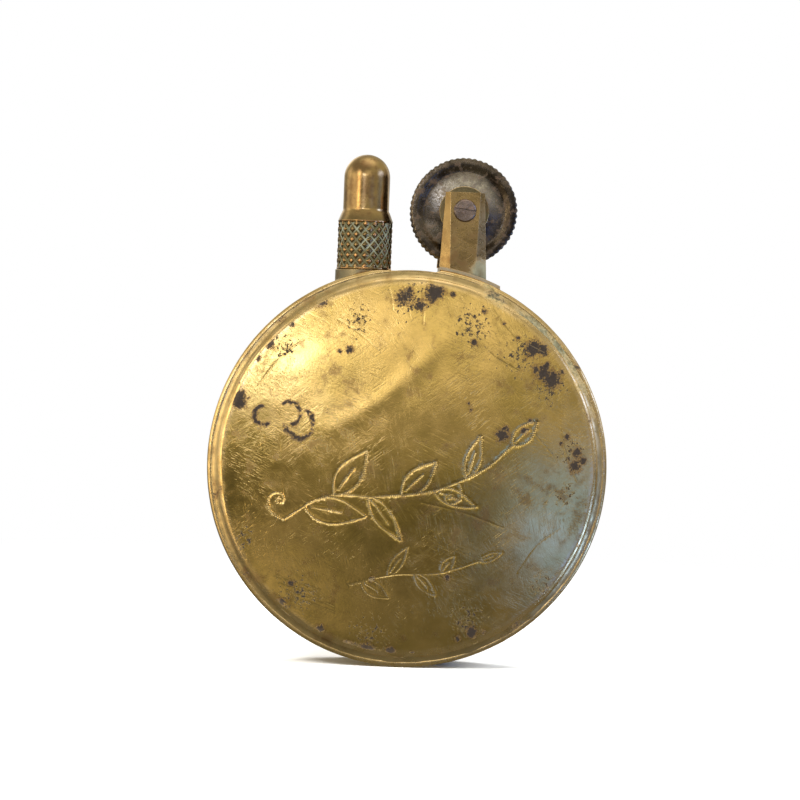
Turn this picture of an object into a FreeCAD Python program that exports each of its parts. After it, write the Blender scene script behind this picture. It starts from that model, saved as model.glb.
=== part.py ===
"""Pocket petrol lighter in the shape of a round watch case.

A soldered brass case holds cotton wadding. A wick burner with a pull-off snuffer cap stands on the
left of its top, and a flint wheel in a fork on the right, over a sprung flint in a tube that goes
right down through the case to a screw plug. Millimetres; the origin is the centre of the case,
+Z points up through the fittings, and the front cover faces -Y.
"""
import FreeCAD
import Part
import Sketcher
import math
import os
import re

SIZES = {
    # case: a band with a dished cover soldered into each side
    "case_radius": 24.0,
    "band_wall": 0.9,
    "band_depth": 9.0,
    "band_round": 0.4,
    "crown_height": 23.5,
    "crown_left": -5.0,
    "crown_right": 2.9,
    "cover_radius": 22.95,
    "cover_sheet": 0.6,
    "cover_skirt_end": 3.55,
    "shoulder_round": 0.9,
    "shoulder_centre": 4.3,
    "edge_slope": 10.0,
    "land_radius": 8.0,
    "bead_gap": 0.01,
    "bead_spread": 0.07,
    "bead_foot": 3.65,
    "bead_top": 4.45,
    "wadding_radius": 22.0,
    "wadding_half": 4.3,
    "wadding_round": 1.5,
    "wadding_ease": 0.2,
    # burner and snuffer cap, on one upright axis
    "burner_across": -6.05,
    "collar_radius": 3.45,
    "collar_bottom": 19.8,
    "wick_tube_radius": 2.1,
    "wick_tube_bore": 1.6,
    "wick_tube_bottom": 15.0,
    "wick_tube_top": 30.3,
    "wick_radius": 1.5,
    "wick_bottom": 5.0,
    "wick_top": 32.0,
    "cap_fit": 0.03,
    "cap_foot": 23.52,
    "cap_skirt_radius": 3.325,
    "cap_skirt_top": 29.45,
    "cap_barrel_radius": 2.78,
    "cap_barrel_bottom": 30.66,
    "cap_top": 37.5,
    "cap_bore_top": 32.8,
    "cap_bore_cone": 0.9,
    # fork, axle and wheel, on one axis across the case
    "wheel_across": 5.75,
    "wheel_height": 31.0,
    "fork_half_depth": 4.0,
    "fork_top": 33.2,
    "fork_width_top": 4.7,
    "fork_width_base": 5.8,
    "fork_flat_top": 3.6,
    "fork_flat_base": 3.0,
    "fork_bevel": 0.6,
    "fork_slot_half": 2.6,
    "fork_slot_bottom": 24.0,
    "foot_plate": 0.4,
    "foot_left": 3.1,
    "foot_right": 10.3,
    "foot_half_depth": 4.2,
    "axle_radius": 1.0,
    "screw_head_radius": 1.35,
    "screw_head": 0.6,
    "screw_seat": 0.35,
    "screw_seat_ease": 0.02,
    "screw_head_round": 0.15,
    "screw_slot": 0.4,
    "screw_slot_deep": 0.3,
    "screw_slot_tilt": 8.0,
    "hub_fit": 0.03,
    "hub_barrel_radius": 1.6,
    "hub_flange_radius": 3.0,
    "hub_half": 2.5,
    "striker_radius": 5.3,
    "striker_half": 1.4,
    "striker_teeth": 60,
    "striker_tooth_deep": 0.22,
    "disc_radius": 6.45,
    "disc_half": 2.3,
    "disc_seat_radius": 3.1,
    "disc_seat_half": 2.2,
    "disc_hollow_radius": 4.75,
    "disc_hollow_half": 1.95,
    "disc_land_radius": 5.75,
    "disc_teeth": 56,
    "disc_tooth_deep": 0.2,
    # flint feed, in the tube under the wheel
    "flint_tube_radius": 2.0,
    "flint_tube_bore": 1.4,
    "flint_radius": 1.3,
    "flint_long": 5.0,
    "flint_gap": 0.04,
    "plunger_radius": 1.35,
    "plunger_head": 1.6,
    "plunger_pin_radius": 0.65,
    "plunger_pin": 4.0,
    "spring_radius": 1.05,
    "spring_wire": 0.3,
    "spring_pitch": 1.6,
    "plug_radius": 1.37,
    "plug_bottom": -22.85,
    "plug_long": 4.0,
    "plug_slot": 0.5,
    "plug_slot_deep": 0.7,
}

# Sizes that follow from the driving ones, as formulas.
BAND_BORE = "(case_radius - band_wall)"
DOME = "((cover_radius - shoulder_round) / sin(edge_slope) + shoulder_round)"
DOME_CENTRE = f"(shoulder_centre - ({DOME} - shoulder_round) * cos(edge_slope))"
SHOULDER_ACROSS = "(cover_radius - shoulder_round + {} * sin(edge_slope))"
SHOULDER_OUT = "(shoulder_centre + {} * cos(edge_slope))"
SHOULDER_INSIDE = "(shoulder_round - cover_sheet)"
FLINT_TOP = "(wheel_height - striker_radius - flint_gap)"
PLUNGER_TOP = f"({FLINT_TOP} - flint_long)"
SPRING_TOP = f"({PLUNGER_TOP} - plunger_head)"
PLUG_TOP = "(plug_bottom + plug_long)"

doc = FreeCAD.newDocument("PocketLighter")
sheet = doc.addObject("Spreadsheet::Sheet", "Sizes")
for row, (alias, value) in enumerate(SIZES.items(), start=1):
    sheet.set(f"A{row}", alias)
    sheet.set(f"B{row}", str(value))
    sheet.setAlias(f"B{row}", alias)
doc.recompute()


def formula(text):
    """Write a formula in the sheet's names as an expression that FreeCAD can bind."""
    return re.sub(r"[a-z]+(?:_[a-z]+)+", lambda name: "Sizes." + name.group(0), str(text))


def number(text):
    """The present value of a formula."""
    return float(sheet.evalExpression(formula(text)))


def bind(thing, **formulas):
    """Bind properties of an object to formulas in the sheet."""
    for name, text in formulas.items():
        thing.setExpression(name, formula(text))


def new_body(label, across="0", height="0"):
    """An empty body whose own origin stands at a place on the case's centre plane."""
    body = doc.addObject("PartDesign::Body", label)
    body.Label = label
    body.setExpression("Placement.Base.x", formula(across))
    body.setExpression("Placement.Base.z", formula(height))
    return body


def new_sketch(body, name, plane, offset="0"):
    """A sketch on one of the body's origin planes, or lifted off it."""
    origin_plane = next(item for item in body.Origin.OriginFeatures if item.Role == plane)
    sketch = body.newObject("Sketcher::SketchObject", f"{body.Label}_{name}")
    sketch.AttachmentSupport = (origin_plane, [""])
    sketch.MapMode = "FlatFace"
    sketch.setExpression("AttachmentOffset.Base.z", formula(offset))
    return sketch


def pin_point(sketch, edge, end, across, up):
    """Fix an edge's end at a place given by two formulas."""
    for kind, text in (("DistanceX", across), ("DistanceY", up)):
        rule = sketch.addConstraint(Sketcher.Constraint(kind, -1, 1, edge, end, number(text)))
        sketch.setExpression(f"Constraints[{rule}]", formula(text))


def arc_between(start, end, radius):
    """An arc shorter than half a turn; a positive radius has its centre left of the way there."""
    middle = (start + end) / 2
    chord = end - start
    left = FreeCAD.Vector(-chord.y, chord.x, 0).normalize()
    reach = math.sqrt(radius ** 2 - (chord.Length / 2) ** 2)
    centre = middle + left * math.copysign(reach, radius)
    turns = [math.atan2(point.y - centre.y, point.x - centre.x) for point in (start, end)]
    if radius < 0:
        turns.reverse()
    circle = Part.Circle(centre, FreeCAD.Vector(0, 0, 1), abs(radius))
    return Part.ArcOfCircle(circle, turns[0], turns[1])


def draw(sketch, corners):
    """Draw a closed outline. A corner is (across, up), or (across, up, radius) where the edge
    that leaves it is an arc of that signed radius."""
    places = [FreeCAD.Vector(number(corner[0]), number(corner[1]), 0) for corner in corners]
    ends = []
    for index, corner in enumerate(corners):
        start = places[index]
        end = places[(index + 1) % len(places)]
        if len(corner) == 2:
            edge = sketch.addGeometry(Part.LineSegment(start, end), False)
            ends.append((edge, 1, 2))
            continue
        radius = number(corner[2])
        edge = sketch.addGeometry(arc_between(start, end, radius), False)
        rule = sketch.addConstraint(Sketcher.Constraint("Radius", edge, abs(radius)))
        sketch.setExpression(f"Constraints[{rule}]", formula(f"abs({corner[2]})"))
        ends.append((edge, 1, 2) if radius > 0 else (edge, 2, 1))
    for index, corner in enumerate(corners):
        edge, start, _ = ends[index]
        before, _, finish = ends[index - 1]
        sketch.addConstraint(Sketcher.Constraint("Coincident", before, finish, edge, start))
        pin_point(sketch, edge, start, corner[0], corner[1])


def draw_circle(sketch, across, up, radius):
    """Draw a circle whose centre and radius are formulas."""
    centre = FreeCAD.Vector(number(across), number(up), 0)
    edge = sketch.addGeometry(Part.Circle(centre, FreeCAD.Vector(0, 0, 1), number(radius)), False)
    pin_point(sketch, edge, 3, across, up)
    rule = sketch.addConstraint(Sketcher.Constraint("Radius", edge, number(radius)))
    sketch.setExpression(f"Constraints[{rule}]", formula(radius))


def turn(body, plane, corners):
    """Revolve an outline about the sketch's upright axis, which makes a turned piece."""
    sketch = new_sketch(body, "profile", plane)
    draw(sketch, corners)
    solid = body.newObject("PartDesign::Revolution", body.Label + "_turned")
    solid.Profile = sketch
    solid.ReferenceAxis = (sketch, ["V_Axis"])
    solid.Angle = 360
    return solid


def cut(body, name, sketch, length=None, reverse=False, both=False):
    """Cut a sketch out of the body, right through when it has no length, and test that it cut."""
    doc.recompute()
    before = body.Shape.Volume
    pocket = body.newObject("PartDesign::Pocket", f"{body.Label}_{name}")
    pocket.Profile = sketch
    pocket.SideType = "Symmetric" if both else "One side"
    pocket.Reversed = reverse
    if length is None:
        pocket.Type = "ThroughAll"
    else:
        pocket.Type = "Length"
        bind(pocket, Length=length)
    doc.recompute()
    assert body.Shape.Volume < before - 1e-6, f"{pocket.Label} cuts nothing"
    return pocket


def repeat_round(body, feature, sketch, count):
    """Repeat a feature all the way round the sketch's normal."""
    pattern = body.newObject("PartDesign::PolarPattern", body.Label + "_teeth")
    pattern.Originals = [feature]
    pattern.Axis = (sketch, ["N_Axis"])
    pattern.Angle = 360
    bind(pattern, Occurrences=count)
    body.Tip = pattern
    return pattern


def cut_teeth(body, radius, deep, count):
    """Cut V notches all round a wheel that turns about the body's Y axis."""
    sketch = new_sketch(body, "notch", "XZ_Plane")
    half = f"{radius} * tan(180 / {count}) * 1.02"
    out = f"{radius} * 1.01"
    draw(sketch, [("0", f"{radius} - {deep}"), (half, out), (f"-({half})", out)])
    notch = cut(body, "notched", sketch, both=True)
    repeat_round(body, notch, sketch, count)


# ---------------------------------------------------------------- case

def make_band():
    """The hoop, with rounded edges, its crown filed flat and three holes for the fittings."""
    body = new_body("case_band")
    half = "band_depth / 2"
    low = "(band_depth / 2 - band_round)"
    inner = f"({BAND_BORE} + band_round)"
    outer = "(case_radius - band_round)"
    turn(body, "XY_Plane", [
        (BAND_BORE, f"-{low}", "band_round"), (inner, f"-{half}"),
        (outer, f"-{half}", "band_round"), ("case_radius", f"-{low}"),
        ("case_radius", low, "band_round"), (outer, half),
        (inner, half, "band_round"), (BAND_BORE, low),
    ])
    crown = new_sketch(body, "crown", "XZ_Plane")
    draw(crown, [("crown_left", "crown_height"), ("crown_right", "crown_height"),
                 ("crown_right", "case_radius + 1"), ("crown_left", "case_radius + 1")])
    cut(body, "crown_flat", crown, both=True)
    top_hole = new_sketch(body, "collar_hole", "XY_Plane")
    draw_circle(top_hole, "burner_across", "0", "collar_radius")
    cut(body, "collar_bore", top_hole, reverse=True)
    tube_holes = new_sketch(body, "tube_hole", "XY_Plane")
    draw_circle(tube_holes, "wheel_across", "0", "flint_tube_radius")
    cut(body, "tube_bores", tube_holes, both=True)
    return body


def make_cover(label, side, flat_land):
    """A dished cover: a shallow dome, a rounded shoulder and a skirt that goes into the band.
    side is -1 at the front and 1 at the back, where a land is worn flat."""
    body = new_body(label)
    sheet_dome = f"({DOME} - cover_sheet)"

    def out(text):
        return f"({side} * {text})"

    turn(body, "XY_Plane", [
        ("0", out(f"({DOME_CENTRE} + {DOME})"), f"-{side} * {DOME}"),
        (SHOULDER_ACROSS.format("shoulder_round"), out(SHOULDER_OUT.format("shoulder_round")),
         f"-{side} * shoulder_round"),
        ("cover_radius", out("shoulder_centre")),
        ("cover_radius", out("cover_skirt_end")),
        ("cover_radius - cover_sheet", out("cover_skirt_end")),
        ("cover_radius - cover_sheet", out("shoulder_centre"), f"{side} * {SHOULDER_INSIDE}"),
        (SHOULDER_ACROSS.format(SHOULDER_INSIDE), out(SHOULDER_OUT.format(SHOULDER_INSIDE)),
         f"{side} * {sheet_dome}"),
        ("0", out(f"({DOME_CENTRE} + {sheet_dome})")),
    ])
    if flat_land:
        land = new_sketch(body, "land", "XY_Plane")
        level = f"({DOME_CENTRE} + sqrt(({DOME}) ^ 2 - land_radius ^ 2))"
        reach = "land_radius + 1"
        draw(land, [(f"-({reach})", level), (reach, level),
                    (reach, f"{level} + 1"), (f"-({reach})", f"{level} + 1")])
        cut(body, "worn_land", land, both=True)
    return body


def make_solder_seam(label, side):
    """The ring of solder between the band and a cover, widening into the groove outside."""
    body = new_body(label)
    left = "(cover_radius + bead_gap)"
    right = f"({BAND_BORE} - bead_gap)"
    level = "(band_depth / 2 - band_round)"
    turn(body, "XY_Plane", [
        (left, f"{side} * bead_foot"), (right, f"{side} * bead_foot"),
        (right, f"{side} * {level}"), (f"{right} + bead_spread", f"{side} * bead_top"),
        (left, f"{side} * bead_top"),
    ])
    return body


def make_wadding():
    """The cotton pad that holds the petrol, with room for the two tubes and the wick."""
    body = new_body("cotton_wadding")
    low = "(wadding_half - wadding_round)"
    inner = "(wadding_radius - wadding_round)"
    turn(body, "XY_Plane", [
        ("0", "-wadding_half"), (inner, "-wadding_half", "wadding_round"),
        ("wadding_radius", f"-{low}"), ("wadding_radius", low, "wadding_round"),
        (inner, "wadding_half"), ("0", "wadding_half"),
    ])
    channels = [
        ("flint_tube_channel", "wheel_across", "flint_tube_radius", "-case_radius"),
        ("wick_channel", "burner_across", "wick_radius", "wick_bottom - wadding_ease"),
        ("wick_tube_channel", "burner_across", "wick_tube_radius",
         "wick_tube_bottom - wadding_ease"),
        ("collar_channel", "burner_across", "collar_radius", "collar_bottom - wadding_ease"),
    ]
    for name, across, radius, level in channels:
        channel = new_sketch(body, name + "_outline", "XY_Plane", level)
        draw_circle(channel, across, "0", f"{radius} + wadding_ease")
        cut(body, name, channel, length="2 * case_radius", reverse=True)
    return body


# ---------------------------------------------------------------- burner

def make_ring(label, across, outer, inner, bottom, top):
    """A plain upright tube or bush."""
    body = new_body(label, across)
    turn(body, "XZ_Plane", [(inner, bottom), (outer, bottom), (outer, top), (inner, top)])
    return body


def make_wick():
    """The woven wick, as a plain round rod with a blunt tip."""
    body = new_body("wick", "burner_across")
    blunt = "0.4"
    turn(body, "XZ_Plane", [
        ("0", "wick_bottom"), ("wick_radius", "wick_bottom"),
        ("wick_radius", f"wick_top - {blunt}"), (f"wick_radius - {blunt}", "wick_top"),
        ("0", "wick_top"),
    ])
    return body


def make_cap():
    """The snuffer cap: a turned brass thimble with a wide grip skirt and a round nose."""
    body = new_body("snuffer_cap", "burner_across")
    bore = "(wick_tube_radius + cap_fit)"
    turn(body, "XZ_Plane", [
        (bore, "cap_foot"), ("cap_skirt_radius", "cap_foot"),
        ("cap_skirt_radius", "cap_skirt_top"), ("cap_barrel_radius", "cap_barrel_bottom"),
        ("cap_barrel_radius", "cap_top - cap_barrel_radius", "cap_barrel_radius"),
        ("0", "cap_top"), ("0", "cap_bore_top + cap_bore_cone"), (bore, "cap_bore_top"),
    ])
    return body


# ---------------------------------------------------------------- fork and wheel

def fork_section(body, name, width, flat, level):
    """One level of the fork block: a rectangle whose four corners are bevelled."""
    sketch = new_sketch(body, name, "XY_Plane", level)
    side = f"({width} / 2)"
    face = f"({flat} / 2)"
    low = "(fork_half_depth - fork_bevel)"
    draw(sketch, [
        (f"-{face}", "-fork_half_depth"), (face, "-fork_half_depth"), (side, f"-{low}"),
        (side, low), (face, "fork_half_depth"), (f"-{face}", "fork_half_depth"),
        (f"-{side}", low), (f"-{side}", f"-{low}"),
    ])
    return sketch


def make_fork():
    """The slotted brass block whose two cheeks carry the wheel's axle."""
    body = new_body("wheel_fork", "wheel_across")
    base = fork_section(body, "base", "fork_width_base", "fork_flat_base", "crown_height - 1")
    top = fork_section(body, "top", "fork_width_top", "fork_flat_top", "fork_top")
    block = body.newObject("PartDesign::AdditiveLoft", "wheel_fork_block")
    block.Profile = base
    block.Sections = [top]
    block.Ruled = True
    slot = new_sketch(body, "slot", "YZ_Plane")
    draw(slot, [("-fork_slot_half", "fork_slot_bottom"), ("fork_slot_half", "fork_slot_bottom"),
                ("fork_slot_half", "fork_top + 1"), ("-fork_slot_half", "fork_top + 1")])
    cut(body, "wheel_slot", slot, both=True)
    saddle = new_sketch(body, "saddle", "XZ_Plane")
    draw_circle(saddle, "-wheel_across", "0", "case_radius + foot_plate")
    cut(body, "saddle_cut", saddle, both=True)
    bore = new_sketch(body, "tube_hole", "XY_Plane")
    draw_circle(bore, "0", "0", "flint_tube_radius")
    cut(body, "tube_bore", bore, reverse=True)
    axle = new_sketch(body, "axle_hole", "XZ_Plane")
    draw_circle(axle, "0", "wheel_height", "axle_radius")
    cut(body, "axle_bore", axle, both=True)
    seat = new_sketch(body, "screw_seat", "XZ_Plane", "fork_half_depth - screw_seat")
    draw_circle(seat, "0", "wheel_height", "screw_head_radius + screw_seat_ease")
    cut(body, "screw_seat", seat, length="screw_seat + 1", reverse=True)
    return body


def make_foot_plate():
    """The thin saddle that is brazed on the band and carries the fork."""
    body = new_body("fork_foot_plate")
    strip = new_sketch(body, "strip", "XZ_Plane")
    outer = "(case_radius + foot_plate)"
    draw(strip, [
        ("foot_left", "sqrt(case_radius ^ 2 - foot_left ^ 2)", "-case_radius"),
        ("foot_right", "sqrt(case_radius ^ 2 - foot_right ^ 2)"),
        ("foot_right", f"sqrt({outer} ^ 2 - foot_right ^ 2)", outer),
        ("foot_left", f"sqrt({outer} ^ 2 - foot_left ^ 2)"),
    ])
    plate = body.newObject("PartDesign::Pad", "fork_foot_plate_strip")
    plate.Profile = strip
    plate.SideType = "Symmetric"
    bind(plate, Length="2 * foot_half_depth")
    hole = new_sketch(body, "tube_hole", "XY_Plane")
    draw_circle(hole, "wheel_across", "0", "flint_tube_radius")
    cut(body, "tube_bore", hole, reverse=True)
    return body


def make_axle_screw():
    """The slotted screw that is the wheel's axle."""
    body = new_body("axle_screw", "wheel_across", "wheel_height")
    seat = "(fork_half_depth - screw_seat)"
    face = f"({seat} + screw_head)"
    turn(body, "XY_Plane", [
        ("0", f"-{face}"), ("screw_head_radius - screw_head_round", f"-{face}"),
        ("screw_head_radius", f"-({face} - screw_head_round)"),
        ("screw_head_radius", f"-{seat}"), ("axle_radius", f"-{seat}"),
        ("axle_radius", "fork_half_depth"), ("0", "fork_half_depth"),
    ])
    slot = new_sketch(body, "slot", "XZ_Plane", f"{face} - screw_slot_deep")
    slot.setExpression("AttachmentOffset.Rotation.Angle", formula("-screw_slot_tilt"))
    long = "(screw_head_radius + 0.5)"
    draw(slot, [(f"-{long}", "-screw_slot / 2"), (long, "-screw_slot / 2"),
                (long, "screw_slot / 2"), (f"-{long}", "screw_slot / 2")])
    cut(body, "driver_slot", slot, length="screw_slot_deep + 1", reverse=True)
    return body


def make_hub():
    """The flanged bush that turns on the axle and is riveted over the wheel's three plates."""
    body = new_body("wheel_hub", "wheel_across", "wheel_height")
    bore = "(axle_radius + hub_fit)"
    turn(body, "XY_Plane", [
        (bore, "-hub_half"), ("hub_flange_radius", "-hub_half"),
        ("hub_flange_radius", "-disc_seat_half"), ("hub_barrel_radius", "-disc_seat_half"),
        ("hub_barrel_radius", "disc_seat_half"), ("hub_flange_radius", "disc_seat_half"),
        ("hub_flange_radius", "hub_half"), (bore, "hub_half"),
    ])
    return body


def make_striker():
    """The hardened steel wheel with fine teeth that strikes the flint."""
    body = new_body("striker_wheel", "wheel_across", "wheel_height")
    turn(body, "XY_Plane", [
        ("hub_barrel_radius", "-striker_half"), ("striker_radius", "-striker_half"),
        ("striker_radius", "striker_half"), ("hub_barrel_radius", "striker_half"),
    ])
    cut_teeth(body, "striker_radius", "striker_tooth_deep", "striker_teeth")
    return body


def make_thumb_disc(label, side):
    """A disc with a serrated rim and a turned hollow round its hub, which the thumb turns."""
    body = new_body(label, "wheel_across", "wheel_height")
    turn(body, "XY_Plane", [
        ("hub_barrel_radius", f"{side} * striker_half"),
        ("disc_radius", f"{side} * striker_half"),
        ("disc_radius", f"{side} * disc_half"),
        ("disc_land_radius", f"{side} * disc_half"),
        ("disc_hollow_radius", f"{side} * disc_hollow_half"),
        ("disc_seat_radius", f"{side} * disc_seat_half"),
        ("hub_barrel_radius", f"{side} * disc_seat_half"),
    ])
    cut_teeth(body, "disc_radius", "disc_tooth_deep", "disc_teeth")
    return body


# ---------------------------------------------------------------- flint feed

def make_flint_tube():
    """The tube that guides the flint, its lower end filed flush with the round band."""
    body = make_ring("flint_tube", "wheel_across", "flint_tube_radius", "flint_tube_bore",
                     "-(case_radius + 1)", "fork_slot_bottom")
    trim = new_sketch(body, "trim", "XZ_Plane")
    half = "(flint_tube_radius + 0.5)"
    left = f"-sqrt(case_radius ^ 2 - (wheel_across - {half}) ^ 2)"
    right = f"-sqrt(case_radius ^ 2 - (wheel_across + {half}) ^ 2)"
    draw(trim, [(f"-{half}", left, "case_radius"), (half, right),
                (half, "-(case_radius + 2)"), (f"-{half}", "-(case_radius + 2)")])
    cut(body, "flush_end", trim, both=True)
    return body


def make_flint():
    """The flint, a plain rod."""
    body = new_body("flint", "wheel_across")
    turn(body, "XZ_Plane", [("0", PLUNGER_TOP), ("flint_radius", PLUNGER_TOP),
                            ("flint_radius", FLINT_TOP), ("0", FLINT_TOP)])
    return body


def make_plunger():
    """The brass follower that the spring pushes up under the flint."""
    body = new_body("flint_plunger", "wheel_across")
    turn(body, "XZ_Plane", [
        ("0", f"{SPRING_TOP} - plunger_pin"), ("plunger_pin_radius", f"{SPRING_TOP} - plunger_pin"),
        ("plunger_pin_radius", SPRING_TOP), ("plunger_radius", SPRING_TOP),
        ("plunger_radius", PLUNGER_TOP), ("0", PLUNGER_TOP),
    ])
    return body


def make_spring():
    """The long coil spring between the plunger and the screw plug."""
    body = new_body("flint_spring", "wheel_across")
    wire = new_sketch(body, "wire", "XZ_Plane")
    draw_circle(wire, "spring_radius", f"{PLUG_TOP} + spring_wire / 2", "spring_wire / 2")
    coil = body.newObject("PartDesign::AdditiveHelix", "flint_spring_coil")
    coil.Profile = wire
    coil.ReferenceAxis = (wire, ["V_Axis"])
    coil.Mode = "pitch-height-angle"
    bind(coil, Pitch="spring_pitch", Height=f"{SPRING_TOP} - {PLUG_TOP} - spring_wire")
    return body


def make_plug():
    """The headless slotted screw that closes the flint tube."""
    body = new_body("flint_screw", "wheel_across")
    chamfer = "0.2"
    turn(body, "XZ_Plane", [
        ("0", "plug_bottom"), (f"plug_radius - {chamfer}", "plug_bottom"),
        ("plug_radius", f"plug_bottom + {chamfer}"), ("plug_radius", f"{PLUG_TOP} - {chamfer}"),
        (f"plug_radius - {chamfer}", PLUG_TOP), ("0", PLUG_TOP),
    ])
    slot = new_sketch(body, "slot", "XZ_Plane")
    draw(slot, [("-plug_slot / 2", "plug_bottom - 1"), ("plug_slot / 2", "plug_bottom - 1"),
                ("plug_slot / 2", "plug_bottom + plug_slot_deep"),
                ("-plug_slot / 2", "plug_bottom + plug_slot_deep")])
    cut(body, "driver_slot", slot, both=True)
    return body


# ---------------------------------------------------------------- the whole lighter

pieces = [
    make_band(),
    make_cover("front_cover", -1, flat_land=False),
    make_cover("rear_cover", 1, flat_land=True),
    make_solder_seam("front_solder_seam", -1),
    make_solder_seam("rear_solder_seam", 1),
    make_wadding(),
    make_ring("burner_collar", "burner_across", "collar_radius", "wick_tube_radius",
              "collar_bottom", "crown_height"),
    make_ring("wick_tube", "burner_across", "wick_tube_radius", "wick_tube_bore",
              "wick_tube_bottom", "wick_tube_top"),
    make_wick(),
    make_cap(),
    make_fork(),
    make_foot_plate(),
    make_axle_screw(),
    make_hub(),
    make_striker(),
    make_thumb_disc("front_thumb_disc", -1),
    make_thumb_disc("rear_thumb_disc", 1),
    make_flint_tube(),
    make_flint(),
    make_plunger(),
    make_spring(),
    make_plug(),
]
doc.recompute()

for item in doc.Objects:
    if "Invalid" in item.State or "Error" in item.State:
        raise RuntimeError(f"{item.Label} failed: {item.State}")
for piece in pieces:
    if piece.Shape.isNull() or not piece.Shape.isValid():
        raise RuntimeError(f"{piece.Label} has no valid shape")
    if len(piece.Shape.Solids) != 1:
        raise RuntimeError(f"{piece.Label} has {len(piece.Shape.Solids)} solids")

os.makedirs("parts", exist_ok=True)
for piece in pieces:
    piece.Shape.exportStep(f"parts/{piece.Label}.step")
    box = piece.Shape.BoundBox
    print(f"{piece.Label:18s} {piece.Shape.Volume:9.2f} mm3  x {box.XMin:6.2f} {box.XMax:6.2f}"
          f"  y {box.YMin:6.2f} {box.YMax:6.2f}  z {box.ZMin:6.2f} {box.ZMax:6.2f}")
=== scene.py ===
"""Looks of the round pocket petrol lighter: aged, dented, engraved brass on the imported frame."""

import math
import random

import bmesh
import bpy
import numpy as np
from mathutils import Matrix, Vector, geometry, kdtree, noise


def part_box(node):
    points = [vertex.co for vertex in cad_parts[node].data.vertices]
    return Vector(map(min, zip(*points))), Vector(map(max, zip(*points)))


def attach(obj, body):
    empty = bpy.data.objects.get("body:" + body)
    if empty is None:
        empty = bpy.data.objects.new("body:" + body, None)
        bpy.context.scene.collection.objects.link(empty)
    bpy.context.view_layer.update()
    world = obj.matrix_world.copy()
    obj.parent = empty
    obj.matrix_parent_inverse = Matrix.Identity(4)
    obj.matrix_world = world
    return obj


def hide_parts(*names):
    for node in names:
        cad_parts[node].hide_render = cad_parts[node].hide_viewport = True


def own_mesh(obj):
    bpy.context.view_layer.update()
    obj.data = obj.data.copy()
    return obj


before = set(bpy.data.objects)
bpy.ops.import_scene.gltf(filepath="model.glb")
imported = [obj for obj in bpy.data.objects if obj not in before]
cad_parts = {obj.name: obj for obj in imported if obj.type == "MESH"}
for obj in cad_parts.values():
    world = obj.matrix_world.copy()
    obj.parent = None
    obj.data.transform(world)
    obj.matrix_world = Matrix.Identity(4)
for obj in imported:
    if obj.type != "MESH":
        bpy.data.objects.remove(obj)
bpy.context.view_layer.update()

MM = 0.001
random.seed(17)


def corners(node):
    """Lowest and highest corner of a CAD node, in millimetres."""
    low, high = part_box(node)
    return low / MM, high / MM


# ------------------------------------------------------------------ sizes, from the frame

BAND_LOW, BAND_HIGH = corners("case_band")
CASE_RADIUS = BAND_HIGH.x
BAND_HALF = BAND_HIGH.y
BAND_WALL = 0.9
BAND_ROUND = 0.4
# The flat filed on the band between cap and fork: its height, and from where to where across.
CROWN = 23.5
CROWN_FROM, CROWN_TO = -5.0, 2.9
COVER_RADIUS = corners("front_cover")[1].x
COVER_APEX = -corners("front_cover")[0].y
SKIRT_END = -corners("front_cover")[1].y
LAND = corners("rear_cover")[1].y
SHEET = 0.6
SHOULDER = 0.9
EDGE_SLOPE = math.radians(10)
DOME = (COVER_RADIUS - SHOULDER) / math.sin(EDGE_SLOPE) + SHOULDER
DOME_CENTRE = COVER_APEX - DOME
SHOULDER_CENTRE = DOME_CENTRE + (DOME - SHOULDER) * math.cos(EDGE_SLOPE)
RIM = COVER_RADIUS - SHOULDER + SHOULDER * math.sin(EDGE_SLOPE)

CAP_LOW, CAP_HIGH = corners("snuffer_cap")
CAP_X = (CAP_LOW.x + CAP_HIGH.x) / 2
CAP_SKIRT = (CAP_HIGH.x - CAP_LOW.x) / 2
CAP_SKIRT_TOP = 29.45
CAP_BARREL = 2.78
CAP_BARREL_FOOT = 30.66
TUBE_LOW, TUBE_HIGH = corners("wick_tube")
COLLAR_LOW, COLLAR_HIGH = corners("burner_collar")
CAP_BORE = (TUBE_HIGH.x - TUBE_LOW.x) / 2 + 0.03

DISC_LOW, DISC_HIGH = corners("front_thumb_disc")
WHEEL_X = (DISC_LOW.x + DISC_HIGH.x) / 2
WHEEL_Z = (DISC_LOW.z + DISC_HIGH.z) / 2
DISC_RADIUS = (DISC_HIGH.x - DISC_LOW.x) / 2
DISC_OUT = -DISC_LOW.y
DISC_IN = -DISC_HIGH.y
DISC_TEETH = 56
DISC_BORE = 1.6
SEAT_RADIUS = 3.1
SEAT_OUT = 2.2
HOLLOW_RADIUS = 4.75
HOLLOW_OUT = 1.95
LAND_RADIUS = 5.75
WICK_LOW, WICK_HIGH = corners("wick")
# The flint tube's radius.
TUBE_RADIUS = (corners("flint_tube")[1].x - corners("flint_tube")[0].x) / 2


# ------------------------------------------------------------------ small mesh tools

def smooth_step(low, high, value):
    """0 below low, 1 above high, with an eased way between."""
    share = min(max((value - low) / (high - low), 0.0), 1.0)
    return share * share * (3 - 2 * share)


def ripple(x, y, z, size, seed=0.0):
    """Smooth noise between about -1 and 1 whose bumps are about size millimetres."""
    return noise.noise(Vector((x / size + seed, y / size - seed, z / size + 2 * seed)))


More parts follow.
